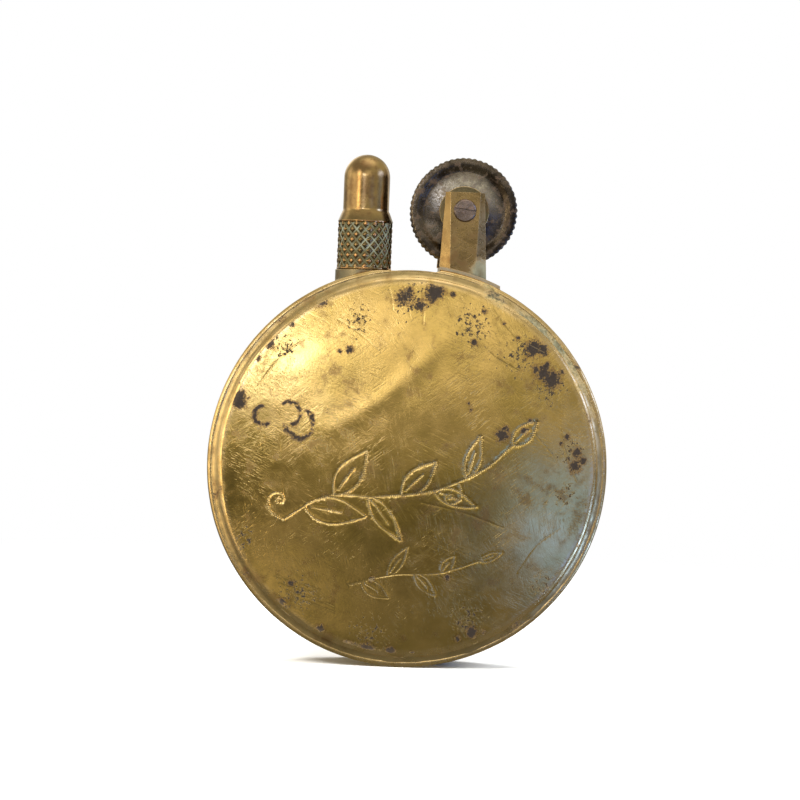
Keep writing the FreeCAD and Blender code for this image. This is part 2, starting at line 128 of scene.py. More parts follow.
def make_object(name, points, faces, fields=None):
    """A smooth-shaded mesh object from points in millimetres, with named point fields."""
    mesh = bpy.data.meshes.new(name)
    mesh.from_pydata([Vector(point) * MM for point in points], [], faces)
    for field, values in (fields or {}).items():
        layer = mesh.attributes.new(field, "FLOAT", "POINT")
        layer.data.foreach_set("value", np.array(values, np.float32))
    work = bmesh.new()
    work.from_mesh(mesh)
    bmesh.ops.recalc_face_normals(work, faces=work.faces)
    for face in work.faces:
        face.smooth = True
    work.to_mesh(mesh)
    work.free()
    piece = bpy.data.objects.new(name, mesh)
    bpy.context.scene.collection.objects.link(piece)
    return piece


def ring_faces_between(first, second):
    """Quads between two rings of point indices."""
    count = len(first)
    return [(first[i], first[(i + 1) % count], second[(i + 1) % count], second[i])
            for i in range(count)]


def ring_faces(first, second, count):
    """Quads between two rings of points that start at these indices."""
    return ring_faces_between(range(first, first + count), range(second, second + count))


def lathe(profile, count, place, closed=False):
    """Revolve (radius, along) pairs. place(radius, along, angle) gives a point. A profile point on
    the axis becomes a single pole."""
    points, starts, faces = [], [], []
    for radius, along in profile:
        starts.append((len(points), radius < 1e-9))
        turns = 1 if radius < 1e-9 else count
        points += [place(radius, along, 2 * math.pi * i / count) for i in range(turns)]
    pairs = list(zip(starts, starts[1:]))
    if closed:
        pairs.append((starts[-1], starts[0]))
    for (first, first_pole), (second, second_pole) in pairs:
        if first_pole and second_pole:
            continue
        if first_pole:
            faces += [(first, second + (i + 1) % count, second + i) for i in range(count)]
        elif second_pole:
            faces += [(first + i, first + (i + 1) % count, second) for i in range(count)]
        else:
            faces += ring_faces(first, second, count)
    return points, faces


def arc(centre, radius, start, end, steps):
    """(across, up) points on an arc, angles in degrees."""
    return [(centre[0] + radius * math.cos(math.radians(start + (end - start) * i / steps)),
             centre[1] + radius * math.sin(math.radians(start + (end - start) * i / steps)))
            for i in range(steps + 1)]


def line(start, end, steps):
    """Evenly spaced points from start to end, without the end."""
    return [(start[0] + (end[0] - start[0]) * i / steps,
             start[1] + (end[1] - start[1]) * i / steps) for i in range(steps)]


# ------------------------------------------------------------------ material tools

class Graph:
    """Builds a shader graph with short calls."""

    def __init__(self, tree):
        self.tree = tree
        tree.nodes.clear()

    def add(self, kind, output=0, settings=None, **inputs):
        """Add a node, set its inputs by name and give back one of its outputs."""
        node = self.tree.nodes.new(kind)
        for key, value in (settings or {}).items():
            setattr(node, key, value)
        for key, value in inputs.items():
            name = key.replace("_", " ")
            self.plug(node.inputs[int(key[1:]) if key[1:].isdigit() else name], value)
        return node.outputs[output] if len(node.outputs) else None

    def plug(self, socket, value):
        """Link a socket, or set its constant."""
        if isinstance(value, bpy.types.NodeSocket):
            self.tree.links.new(value, socket)
        elif socket.type == "RGBA" and len(value) == 3:
            socket.default_value = (*value, 1)
        else:
            socket.default_value = value

    def math(self, operation, a, b=0.0, clamp=False):
        return self.add("ShaderNodeMath", settings={"operation": operation, "use_clamp": clamp},
                        i0=a, i1=b)

    def times(self, a, b):
        return self.math("MULTIPLY", a, b)

    def plus(self, a, b, clamp=False):
        return self.math("ADD", a, b, clamp)

    def minus(self, a, b):
        return self.math("SUBTRACT", a, b)

    def most(self, a, b):
        return self.math("MAXIMUM", a, b)

    def vector(self, operation, a, b):
        return self.add("ShaderNodeVectorMath", settings={"operation": operation}, i0=a, i1=b)

    def away(self, at, middle, reach):
        """How far a vector is from a middle, in reaches."""
        off = self.vector("DIVIDE", self.vector("SUBTRACT", at, middle), reach)
        return self.add("ShaderNodeVectorMath", 1, {"operation": "LENGTH"}, i0=off)

    def blend(self, share, a, b, kind="MIX"):
        """Mix two colours."""
        settings = {"data_type": "RGBA", "blend_type": kind, "clamp_factor": True}
        return self.add("ShaderNodeMix", output=2, settings=settings, i0=share, i6=a, i7=b)

    def ease(self, value, low, high, to_low=0.0, to_high=1.0):
        """Map low..high to two values with an eased way between."""
        return self.add("ShaderNodeMapRange", settings={"interpolation_type": "SMOOTHSTEP"},
                        Value=value, From_Min=low, From_Max=high, To_Min=to_low, To_Max=to_high)

    def place(self):
        """Position in the lighter's own frame, in millimetres."""
        at = self.add("ShaderNodeTexCoord", output=3)
        return self.add("ShaderNodeVectorMath", settings={"operation": "SCALE"}, i0=at, Scale=1000)

    def noise(self, at, scale, detail=3.0, rough=0.55, seed=(0.0, 0.0, 0.0), stretch=(1, 1, 1),
              turn=(0.0, 0.0, 0.0)):
        """Noise from 0 to 1 at a scale in features per millimetre, turned and then stretched."""
        turned = self.add("ShaderNodeMapping", Vector=at, Location=seed,
                          Rotation=[math.radians(angle) for angle in turn])
        moved = self.vector("MULTIPLY", turned, stretch)
        return self.add("ShaderNodeTexNoise", Vector=moved, Scale=scale, Detail=detail,
                        Roughness=rough)

    def field(self, name):
        """A point field of the mesh, 0 where the mesh has none."""
        return self.add("ShaderNodeAttribute", output=2, settings={"attribute_name": name})


def new_material(name):
    material = bpy.data.materials.new(name)
    material.use_nodes = True
    return material, Graph(material.node_tree)


def finish_material(graph, colour, metallic, roughness, height, depth, specular=0.5):
    """Close a material with its shader: depth is how far the bumps stand, in millimetres."""
    normal = graph.add("ShaderNodeBump", Strength=1.0, Distance=depth * MM, Height=height)
    shader = graph.add("ShaderNodeBsdfPrincipled", Base_Color=colour, Metallic=metallic,
                       Roughness=roughness, Normal=normal, Specular_IOR_Level=specular)
    graph.add("ShaderNodeOutputMaterial", Surface=shader)


def scratches(graph, at, turn, seed):
    """Straight rubbing marks and thin scratches up the sheet, turned about Y by an angle."""
    turned = {"stretch": (1, 1, 0.07), "turn": (0, turn, 0)}
    rubbed = graph.noise(at, 2.6, detail=3.0, rough=0.7, seed=(seed, 3, seed), **turned)
    lines = graph.noise(at, 7.0, detail=1.5, seed=(seed, seed, seed), **turned)
    patches = graph.noise(at, 0.16, detail=2, seed=(seed + 9, 0, seed))
    both = graph.most(graph.ease(rubbed, 0.50, 0.66, 0.0, 0.8), graph.ease(lines, 0.60, 0.70))
    return graph.times(both, graph.ease(patches, 0.45, 0.62))


VERDIGRIS = (0.125, 0.165, 0.125)
BROWN_FILM = (0.30, 0.155, 0.058)
STAIN = (0.018, 0.014, 0.012)
FRESH_CUT = (0.98, 0.72, 0.32)


def brass(name, light, dark, shine=0.24, film=0.5, speckle=0.5, brushed=1.0, green=0.0,
          bloom=None):
    """Old brass: bright and dull patches, brown film, dark stains, pits, scratches, verdigris.

    film, speckle and green are how much of the surface each takes. The mesh fields stain,
    specks, green, edge and cut place them where the object has them; edge also lightens rubbed
    edges with a painted highlight, and the deep middle of a cut gets painted shade with its dirt.
    bloom is the middle and the reach of one patch of verdigris.
    """
    material, graph = new_material(name)
    at = graph.place()
    broad = graph.noise(at, 0.11, detail=4, seed=(3, 1, 7))
    middle = graph.noise(at, 0.55, detail=5, rough=0.6, seed=(11, 2, 5))
    fine = graph.noise(at, 3.2, detail=5, rough=0.65)
    grain = graph.noise(at, 14.0, detail=2)

    colour = graph.blend(graph.ease(broad, 0.36, 0.64), light, dark)
    mottle = graph.noise(at, 0.33, detail=6, rough=0.62, seed=(8, 20, 1))
    colour = graph.blend(graph.ease(mottle, 0.42, 0.68, 0.0, 0.55 * film), colour,
                         tuple(0.55 * c for c in dark))
    film_share = graph.ease(graph.plus(middle, graph.times(broad, 0.5)), 0.92 - 0.28 * film,
                            1.10 - 0.20 * film)
    colour = graph.blend(graph.times(film_share, 0.62), colour, BROWN_FILM)

    lines = [scratches(graph, at, turn, seed) for turn, seed in
             ((12, 2.0), (-52, 31.0), (66, 57.0), (38, 88.0))]
    scored = graph.most(graph.most(lines[0], lines[1]), graph.most(lines[2], lines[3]))
    colour = graph.blend(graph.times(scored, 0.20 * brushed), colour,
                         tuple(min(1.0, 1.25 * c) for c in light))

    ragged = graph.times(graph.minus(fine, 0.5), 1.3)
    patchy = graph.times(graph.minus(middle, 0.5), 0.9)
    marked = graph.plus(graph.field("stain"), graph.plus(ragged, patchy))
    marked = graph.times(marked, graph.ease(graph.field("stain"), 0.02, 0.2))
    stain = graph.ease(marked, 0.40, 0.66)
    pits = graph.noise(at, 2.1, detail=3, rough=0.7, seed=(40, 8, 21))
    where = graph.noise(at, 0.16, detail=2, seed=(5, 50, 9))
    pits = graph.times(graph.ease(pits, 0.68, 0.75),
                       graph.ease(where, 0.62 - 0.25 * speckle, 0.75 - 0.2 * speckle))
    specks = graph.noise(at, 2.2, detail=5, rough=0.72, seed=(17, 60, 44))
    specks = graph.plus(specks, graph.times(graph.field("specks"), 0.22))
    pits = graph.most(pits, graph.ease(specks, 0.72, 0.77))
    spots = graph.most(stain, pits)
    halo = graph.ease(marked, 0.20, 0.50)
    colour = graph.blend(graph.times(halo, 0.55), colour, BROWN_FILM)
    shade = graph.blend(graph.ease(grain, 0.35, 0.65), STAIN, tuple(2.3 * c for c in STAIN))
    colour = graph.blend(graph.times(spots, 0.98), colour, shade)

    cut = graph.field("cut")
    colour = graph.blend(graph.times(graph.ease(cut, 0.10, 0.60), 0.36), colour, FRESH_CUT)
    # Painted shade and dirt in the deep middle of each cut.
    groove_shade_and_dirt = graph.times(graph.ease(cut, 0.50, 0.85), graph.ease(middle, 0.38, 0.55))
    colour = graph.blend(graph.times(groove_shade_and_dirt, 0.85), colour, STAIN)

    patch = graph.noise(at, 0.9, detail=5, rough=0.65, seed=(1, 70, 33))
    grown = graph.plus(graph.field("green"), graph.times(ragged, 0.5))
    grown = graph.plus(grown, patchy)
    grown = graph.plus(grown,
                       graph.ease(patch, 0.75 - 0.35 * green, 0.95 - 0.3 * green, 0.0, green))
    if bloom:
        off = graph.away(at, bloom[0], bloom[1])
        grown = graph.plus(grown, graph.ease(off, 0.45, 1.3, 0.85, 0.0))
    grown = graph.ease(grown, 0.38, 0.85)
    shade = graph.blend(graph.ease(fine, 0.35, 0.65), VERDIGRIS, (0.045, 0.050, 0.030))
    if bloom:
        shade = graph.blend(graph.ease(middle, 0.3, 0.7), (0.21, 0.235, 0.18),
                            (0.115, 0.115, 0.075))
    colour = graph.blend(graph.times(grown, 0.85), colour, shade)

    dull = graph.most(graph.times(spots, 0.85), grown)
    # Rubbed brass where the field edge says so, lightened further as a painted highlight.
    edge = graph.field("edge")
    worn = graph.times(edge, graph.ease(middle, 0.35, 0.62, 0.95, 0.35))
    worn = graph.times(worn, graph.minus(1.0, dull))
    colour = graph.blend(worn, colour, (0.98, 0.70, 0.36))

    metallic = graph.minus(1.0, graph.times(dull, 0.80))
    roughness = graph.plus(graph.ease(middle, 0.3, 0.75, shine - 0.05, shine + 0.12),
                           graph.times(dull, 0.40))
    roughness = graph.plus(roughness, graph.times(film_share, 0.08))
    roughness = graph.plus(roughness, graph.times(edge, 0.12))
    roughness = graph.plus(roughness, graph.times(scored, 0.08), clamp=True)

    height = graph.plus(graph.times(fine, 0.42), graph.times(grain, 0.08))
    height = graph.minus(height, graph.times(scored, 0.27 * brushed))
    height = graph.minus(height, graph.times(pits, 0.12))
    finish_material(graph, colour, metallic, roughness, height, 0.020, specular=0.25)
    return material


def steel(name, light, dark, rust, shine=0.33, rust_share=0.5):
    """Old steel or bronze: dark oxide, brown rust patches and rubbed bright places; on the thumb
    discs the field worn also carries a painted highlight above the hub.
    """
    material, graph = new_material(name)
    at = graph.place()
    broad = graph.noise(at, 0.32, detail=4, seed=(2, 9, 4))
    middle = graph.noise(at, 1.1, detail=5, rough=0.65, seed=(21, 3, 8))
    fine = graph.noise(at, 5.0, detail=4, rough=0.6)
    colour = graph.blend(graph.ease(broad, 0.38, 0.62), light, dark)
    rusty = graph.ease(middle, 0.66 - 0.22 * rust_share, 0.80 - 0.22 * rust_share)
    colour = graph.blend(graph.times(rusty, 0.8), colour, rust)
    # The field worn: rubbed bright places, and on the thumb discs a painted highlight above the
    # hub.
    worn = graph.times(graph.field("worn"), graph.ease(middle, 0.35, 0.65, 1.0, 0.25))
    colour = graph.blend(worn, colour, (0.56, 0.49, 0.38))
    pits = graph.ease(fine, 0.60, 0.70)
    colour = graph.blend(graph.times(pits, 0.30), colour, tuple(0.35 * c for c in dark))
    # Rubbed edges from the field edge, lightened as a painted highlight too.
    rubbed = graph.times(graph.field("edge"), graph.ease(middle, 0.35, 0.6, 0.9, 0.3))
    colour = graph.blend(rubbed, colour, (0.50, 0.44, 0.38))
    metallic = graph.minus(1.0, graph.times(rusty, 0.55))
    roughness = graph.plus(graph.times(rusty, 0.25),
                           graph.ease(fine, 0.3, 0.7, shine - 0.06, shine + 0.12))
    height = graph.minus(graph.times(fine, 0.5), graph.times(pits, 0.5))
    height = graph.plus(height, graph.times(rusty, 0.4))
    finish_material(graph, colour, metallic, roughness, height, 0.012)
    return material


def cloth(name, light, dark, scale):
    """Undyed cotton, darkened where the mesh field char says so."""
    material, graph = new_material(name)
    at = graph.place()
    fibres = graph.noise(at, scale, detail=6, rough=0.7)
    colour = graph.blend(graph.ease(fibres, 0.3, 0.7), dark, light)
    colour = graph.blend(graph.ease(graph.plus(graph.field("char"), graph.times(fibres, 0.4)), 0.4,
                                    0.9), colour, (0.012, 0.010, 0.009))
    finish_material(graph, colour, 0.0, 0.95, fibres, 0.08, specular=0.15)
    return material


def knurled_brass():
    """The cap: rubbed copper-bright points and nose, dark or pale green valleys."""
    material, graph = new_material("cap_brass_worn")
    at = graph.place()
    broad = graph.noise(at, 0.35, detail=4, seed=(6, 2, 9))
    middle = graph.noise(at, 1.3, detail=5, rough=0.6, seed=(14, 4, 2))
    fine = graph.noise(at, 6.0, detail=4, rough=0.6)
    patch = graph.noise(at, 0.45, detail=2, seed=(30, 1, 12))
    colour = graph.blend(graph.ease(broad, 0.35, 0.65), (0.62, 0.41, 0.16), (0.36, 0.22, 0.095))
    colour = graph.blend(graph.times(graph.ease(middle, 0.48, 0.72), 0.65), colour, BROWN_FILM)
    skirt = graph.field("skirt")
    height = graph.plus(graph.field("knurl"), graph.times(graph.minus(middle, 0.5), 0.6))
    grime = graph.blend(graph.ease(patch, 0.42, 0.62), (0.090, 0.090, 0.045),
                        (0.26, 0.29, 0.22))
    grime = graph.blend(graph.ease(fine, 0.4, 0.7, 0.0, 0.35), grime, (0.06, 0.06, 0.036))
    valleys = graph.times(skirt, graph.ease(height, 0.42, 0.16))
    flanks = graph.times(skirt, 0.80)
    olive = graph.blend(graph.ease(middle, 0.35, 0.65), (0.13, 0.110, 0.050), (0.22, 0.165, 0.085))
    colour = graph.blend(flanks, colour, olive)
    colour = graph.blend(graph.times(valleys, 0.90), colour, grime)
    rubbed = graph.times(graph.ease(height, 0.62, 0.92), graph.ease(patch, 0.56, 0.40, 0.06, 1.0))
    colour = graph.blend(graph.times(graph.times(rubbed, 0.95), skirt), colour, (0.72, 0.38, 0.15))
    metallic = graph.minus(1.0, graph.times(valleys, 0.75))
    roughness = graph.plus(graph.ease(middle, 0.3, 0.7, 0.14, 0.27), graph.times(valleys, 0.4),
                           clamp=True)
    relief = graph.plus(graph.times(fine, 0.5), graph.times(middle, 0.3))
    finish_material(graph, colour, metallic, roughness, relief, 0.012, specular=0.25)
    return material


MATERIALS = {
    "case": brass("case_brass_aged", (0.84, 0.555, 0.180), (0.66, 0.445, 0.125), shine=0.13),
    "fork": brass("fork_brass_filed", (0.47, 0.31, 0.125), (0.33, 0.215, 0.09), shine=0.24,
                  film=0.8, speckle=0.3, brushed=0.7, bloom=((8.6, -4.0, 23.0), (2.8, 9.0, 3.4))),
    "plate": brass("plate_brass_pale", (0.76, 0.60, 0.38), (0.58, 0.46, 0.27), shine=0.32,
                   film=0.3, speckle=0.2, brushed=0.4, green=0.1),
    "collar": brass("collar_brass_grimy", (0.44, 0.36, 0.22), (0.27, 0.23, 0.14), shine=0.36,
                    film=0.5, speckle=0.4, brushed=0.2,
                    bloom=((CAP_X, 0.0, 20.6), (9.0, 9.0, 2.2))),
    "fitting": brass("fitting_brass_dull", (0.26, 0.205, 0.105), (0.15, 0.125, 0.065), shine=0.30,
                     film=0.5, speckle=0.4, brushed=0.4, green=0.30),
    "solder": brass("seam_solder_grimy", (0.84, 0.60, 0.27), (0.62, 0.45, 0.20), shine=0.30,
                    film=0.5, speckle=0.5, brushed=0.0),
    "cap": knurled_brass(),
    "disc": steel("disc_steel_browned", (0.165, 0.128, 0.088), (0.045, 0.034, 0.025),
                  (0.095, 0.058, 0.034), shine=0.27, rust_share=0.75),
    "striker": steel("striker_steel_dark", (0.20, 0.185, 0.175), (0.08, 0.072, 0.068),
                     (0.12, 0.070, 0.045)),
    "screw": steel("screw_steel_browned", (0.30, 0.225, 0.185), (0.15, 0.105, 0.085),
                   (0.13, 0.075, 0.05), shine=0.28, rust_share=0.6),
    "spring": steel("spring_steel_bright", (0.5, 0.5, 0.5), (0.32, 0.32, 0.32), (0.2, 0.12, 0.08),
                    rust_share=0.1),
    "flint": steel("flint_grey", (0.20, 0.19, 0.185), (0.11, 0.105, 0.10), (0.12, 0.09, 0.07),
                   shine=0.5, rust_share=0.2),
    "wick": cloth("wick_cotton_woven", (0.62, 0.53, 0.38), (0.30, 0.23, 0.15), 6.0),
    "wadding": cloth("wadding_cotton_wool", (0.80, 0.76, 0.66), (0.62, 0.57, 0.46), 2.0),
}


def dress(piece, material, body, slot, *nodes):
    """Give a new piece its material and its body, and hide the nodes it stands for. slot is not
    used.
    """
    piece.data.materials.clear()
    piece.data.materials.append(MATERIALS[material])
    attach(piece, body)
    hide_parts(*nodes)
    return piece


def bored(piece, holes):
    """Cut upright round holes in a piece: each is across, radius, from, to, in millimetres."""
    work = bmesh.new()
    for across, radius, low, high in holes:
        made = bmesh.ops.create_cone(work, cap_ends=True, segments=64, radius1=radius * MM,
                                     radius2=radius * MM, depth=(high - low) * MM)
        bmesh.ops.translate(work, verts=made["verts"],
                            vec=Vector((across, 0, (low + high) / 2)) * MM)
    mesh = bpy.data.meshes.new("holes")
    work.to_mesh(mesh)
    work.free()
    cutter = bpy.data.objects.new("holes", mesh)
    bpy.context.scene.collection.objects.link(cutter)
    pierce = piece.modifiers.new("pierce", "BOOLEAN")
    pierce.operation, pierce.object, pierce.solver = "DIFFERENCE", cutter, "EXACT"
    pierce.use_self = len(holes) > 1
    graph = bpy.context.evaluated_depsgraph_get()
    piece.data = bpy.data.meshes.new_from_object(piece.evaluated_get(graph))
    piece.modifiers.clear()
    bpy.data.objects.remove(cutter)
    return piece


def worn_copy(node, material, body, slot, soft):
    """A copy of a CAD node whose sharp edges are rounded and marked in the field edge, which the
    materials paint as rubbed metal lightened by a painted highlight.
    soft is the size of the rounding, 0 for none."""
    work = bmesh.new()
    work.from_mesh(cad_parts[node].data)
    bmesh.ops.remove_doubles(work, verts=work.verts, dist=0.002 * MM)
    bmesh.ops.dissolve_limit(work, angle_limit=math.radians(1), verts=work.verts, edges=work.edges)
    edge_faces = set()
    if soft:
        sharp = [edge for edge in work.edges
                 if len(edge.link_faces) == 2 and edge.calc_face_angle() > math.radians(28)]
        made = bmesh.ops.bevel(work, geom=sharp, offset=soft * MM, segments=2, profile=0.5,
                               affect="EDGES", clamp_overlap=True)
        work.faces.index_update()
        edge_faces = {face.index for face in made["faces"]}
    for face in work.faces:
        face.smooth = True
    mesh = bpy.data.meshes.new(node + "_worn")
    work.to_mesh(mesh)
    work.free()
    layer = mesh.attributes.new("edge", "FLOAT", "FACE")
    layer.data.foreach_set("value", [1.0 if i in edge_faces else 0.0
                                     for i in range(len(mesh.polygons))])
    piece = bpy.data.objects.new(node + "_worn", mesh)
    bpy.context.scene.collection.objects.link(piece)
    flat = piece.modifiers.new("flat_faces", "WEIGHTED_NORMAL")
    flat.weight = 100
    return dress(piece, material, body, slot, node)


def redress(node, material, bevel=0.0):
    """Give a CAD node a new material, smooth round faces and softened edges."""
    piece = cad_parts[node]
    for slot in range(max(1, len(piece.material_slots))):
        if not piece.material_slots:
            piece.data.materials.append(MATERIALS[material])
        piece.material_slots[slot].material = MATERIALS[material]
    weld = piece.modifiers.new("weld", "WELD")
    weld.merge_threshold = 0.002 * MM
    if bevel:
        soft = piece.modifiers.new("soft_edges", "BEVEL")
        soft.width = bevel * MM
        soft.segments = 2
        soft.limit_method = "ANGLE"
        soft.angle_limit = math.radians(35)
        soft.harden_normals = False
    return piece


# ------------------------------------------------------------------ relief of the covers

# Hollows and bumps of the front cover: across, up, radius, depth (a bump is negative).
FRONT_DENTS = [
    (-13.0, 11.5, 3.2, -0.045), (-16.0, 5.0, 2.6, 0.030), (-10.5, 9.0, 2.2, 0.040),
    (-2.5, 12.0, 3.0, 0.035), (1.5, 16.5, 4.5, -0.050), (7.0, 9.0, 4.0, 0.040),
    (12.5, 3.5, 3.5, -0.030), (16.5, -4.5, 3.0, 0.035), (5.0, -6.0, 5.5, 0.050),
    (-8.0, -9.0, 5.0, 0.050), (-13.0, -3.5, 3.0, -0.030), (0.5, -16.0, 4.5, -0.035),
    (11.0, -14.0, 3.6, 0.030), (-3.5, 1.5, 3.0, -0.025), (17.5, 9.0, 2.4, 0.025),
]
REAR_DENTS = [
    (-9.0, 12.0, 4.0, 0.05), (8.0, 13.0, 3.0, -0.03), (14.5, 1.0, 3.5, 0.04),
    (-15.5, -4.0, 3.0, -0.03), (-5.0, -14.0, 4.5, 0.04), (10.5, -12.5, 3.0, 0.03),
]
# The long soft crease that crosses the front cover, from one place to the other.
CREASE = ((-9.3, 4.0), (3.5, 15.4))
CREASE_HALF = 0.85
CREASE_RISE = 0.055

# Dark stains on the front cover: across, up, radius.
STAINS = [
    (-1.1, 20.4, 0.95), (-0.6, 21.2, 0.45), (2.4, 21.0, 1.05), (0.8, 19.3, 0.65),
    (7.2, 15.3, 0.42), (14.6, 14.9, 0.95), (15.6, 14.7, 0.7), (15.7, 11.9, 0.95),
    (16.9, 11.0, 0.95), (14.9, 12.3, 0.55), (16.2, 13.0, 0.35), (18.0, 12.2, 0.35),
    (11.0, 4.3, 0.75), (11.5, 5.2, 0.4), (13.7, 5.0, 0.55), (14.4, 6.1, 0.35),
    (20.2, 2.6, 0.6), (20.0, 0.9, 0.75), (21.0, 1.6, 0.45), (18.9, 4.4, 0.35),
    (18.2, 3.6, 0.25), (-20.6, 7.8, 1.0), (-20.3, 6.9, 0.6), (-7.5, 13.9, 0.5),
    (-8.6, 13.6, 0.3), (17.7, -15.0, 0.55), (8.4, -19.5, 0.6), (6.8, -20.3, 0.55),
    (9.9, -19.4, 0.3), (-4.0, -22.0, 0.8), (-6.5, -21.6, 0.7), (-1.2, -22.0, 0.55),
    (1.3, -22.2, 0.3), (-9.8, -19.6, 0.5), (-13.4, -14.3, 0.4), (-14.4, -16.6, 0.45),
    (-3.9, -13.4, 0.35), (5.2, -12.8, 0.4), (6.9, 8.0, 0.22), (7.2, 7.3, 0.25),
    (-11.0, 19.3, 0.5), (-14.5, 16.6, 0.4), (-17.0, 14.2, 0.55), (-18.4, 12.4, 0.4),
    (8.4, 19.0, 0.35), (10.8, 17.6, 0.3), (12.6, 16.0, 0.3), (4.6, 20.9, 0.35),
]
# Dried drops that left part of an outline: across, up, radius, where its gap faces in degrees.
DRIED_DROPS = [(-17.3, 5.7, 1.15, 20), (-14.4, 6.0, 1.35, 200), (-13.2, 4.9, 1.75, 118)]
# Places crowded with small dark specks: across, up, reach.
SPECKLED = [
    (-0.5, 20.0, 4.5), (7.0, 17.0, 4.5), (13.0, 14.0, 4.5), (16.5, 10.5, 4.0), (19.3, 3.0, 3.6),
    (19.0, -2.5, 2.6), (-15.5, 14.0, 3.5), (-12.5, -15.5, 4.5), (8.0, -18.0, 4.0),
    (17.0, -13.5, 3.0), (-4.0, -20.5, 4.5), (-19.0, -9.0, 2.6), (-6.5, 17.5, 3.0),
]


def bumps(dents, x, z):
    """Sum of a cover's round dents at a place."""
    return -sum(depth * math.exp(-((x - dx) ** 2 + (z - dz) ** 2) / (2 * size * size))
                for dx, dz, size, depth in dents)


def crease_rise(x, z):
    """Height of the long crease at a place."""
    (x0, z0), (x1, z1) = CREASE
    long = math.hypot(x1 - x0, z1 - z0)
    ux, uz = (x1 - x0) / long, (z1 - z0) / long
    along = ((x - x0) * ux + (z - z0) * uz) / long
    across = (z - z0) * ux - (x - x0) * uz + 0.9 * math.sin(3.0 * along)
    ends = smooth_step(-0.15, 0.2, along) * smooth_step(1.25, 0.8, along)
    return CREASE_RISE * ends * math.exp(-(across / CREASE_HALF) ** 2 / 2)


def hammered(x, z, seed):
    """The small unevenness of a sheet that was beaten by hand."""
    return (0.030 * ripple(x, 0, z, 6.0, seed) + 0.0120 * ripple(x, 0, z, 2.6, seed + 5)
            + 0.0022 * ripple(x, 0, z, 0.9, seed + 9))


def dome(radius):
    """Distance of the plain dome from the lighter's middle plane."""
    return DOME_CENTRE + math.sqrt(DOME * DOME - radius * radius)


def stain_at(x, z):
    """Stain field: over a half inside a stain, falling to 0 outside."""
    most = 0.0
    for sx, sz, size in STAINS:
        away = math.hypot(x - sx, z - sz)
        if away < 2 * size:
            most = max(most, 1.0 - 0.5 * away / size)
    for sx, sz, size, gap in DRIED_DROPS:
        off = abs(math.hypot(x - sx, z - sz) - size * (1 + 0.22 * ripple(x, 3, z, 1.5)))
        facing = math.cos(math.atan2(z - sz, x - sx) - math.radians(gap))
        shut = smooth_step(0.85, 0.25, facing + 0.5 * ripple(x, 5, z, 1.1))
        most = max(most, shut * (0.84 - 1.5 * off / (1 + 0.5 * ripple(x, 8, z, 0.9))))
    return max(0.0, most)


def specks_at(x, z):
    """How crowded with small dark specks a place of the front cover is."""
    return max(smooth_step(1.3, 0.0, math.hypot(x - sx, z - sz) / size)
               for sx, sz, size in SPECKLED)


# ------------------------------------------------------------------ engraving

ENGRAVED_DEEP = 0.070
ENGRAVED_HALF = 0.095
WRIGGLE = 0.13
WRIGGLE_STEP = 0.25


def curve_through(points, step=0.02):
    """Points every step millimetres along a smooth curve through a few places."""
    ends = [Vector(p) for p in points]
    ends = [2 * ends[0] - ends[1]] + ends + [2 * ends[-1] - ends[-2]]
    fine = []
    for a, b, c, d in zip(ends, ends[1:], ends[2:], ends[3:]):
        count = max(4, int((c - b).length / step))
        for i in range(count):
            t = i / count
            fine.append(0.5 * ((2 * b) + (c - a) * t + (2 * a - 5 * b + 4 * c - d) * t * t
                               + (3 * b - a - 3 * c + d) * t ** 3))
    return fine + [ends[-2]]


def leaf(base, heading, long, wide):
    """Two curved edges and a short midrib of a pointed leaf, none quite alike."""
    long *= 1 + 0.12 * random.uniform(-1, 1)
    wide *= 1 + 0.2 * random.uniform(-1, 1)
    heading += 0.12 * random.uniform(-1, 1)
    ahead = Vector((math.cos(heading), math.sin(heading)))
    side = Vector((-ahead.y, ahead.x))
    base = Vector(base)
    strokes = []
    for hand in (-1, 1):
        strokes.append([base + ahead * long * t + side * hand * wide * math.sin(math.pi * t ** 0.8)
                        for t in np.linspace(0, 1, int(long / 0.02))])
    strokes.append([base + ahead * long * t + side * 0.05 * wide * math.sin(5 * t)
                    for t in np.linspace(0.10, 0.62, int(long * 0.5 / 0.02))])
    return strokes


def curl(base, heading, size, hand):
    """A tendril that winds in on itself."""
    points = [Vector(base)]
    for i in range(1, 300):
        heading += hand * 0.011 * (1 + i / 68)
        step = size * 0.0225 * (1 - i / 380)
        points.append(points[-1] + Vector((math.cos(heading), math.sin(heading))) * step)
    return points


def spray(stem_points, leaves, longest):
    """A leafy spray: a stem with leaves on alternate sides, smaller towards the tip."""
    stem = curve_through(stem_points)
    strokes = [stem]
    for number in range(leaves):
        index = int(len(stem) * (0.10 + 0.80 * number / leaves))
        ahead = stem[index + 1] - stem[index]
        hand = 1 if number % 2 else -1
        heading = math.atan2(ahead.y, ahead.x) + hand * math.radians(48 - 10 * number / leaves)
        long = longest * (1 - 0.42 * number / leaves)
        strokes += leaf(stem[index], heading, long, 0.19 * long)
    strokes += leaf(stem[-1], math.atan2(*(stem[-1] - stem[-8]).yx), 0.62 * longest,
                    0.12 * longest)
    return strokes


def wriggled(stroke, swing):
    """The zigzag that a rocked graver walks along a stroke, wider and narrower by hand."""
    walked, covered = [], 0.0
    for before, after in zip(stroke, stroke[1:]):
        ahead = after - before
        covered += ahead.length
        side = Vector((-ahead.y, ahead.x)).normalized() if ahead.length else Vector((0, 0))
        phase = covered / WRIGGLE_STEP % 1.0
        hand = 1 + 0.7 * ripple(after.x, 4, after.y, 1.6)
        drift = 0.07 * ripple(after.x, 8, after.y, 2.2)
        walked.append(after + side * (drift + swing * hand * (4 * abs(phase - 0.5) - 1)))
    return walked


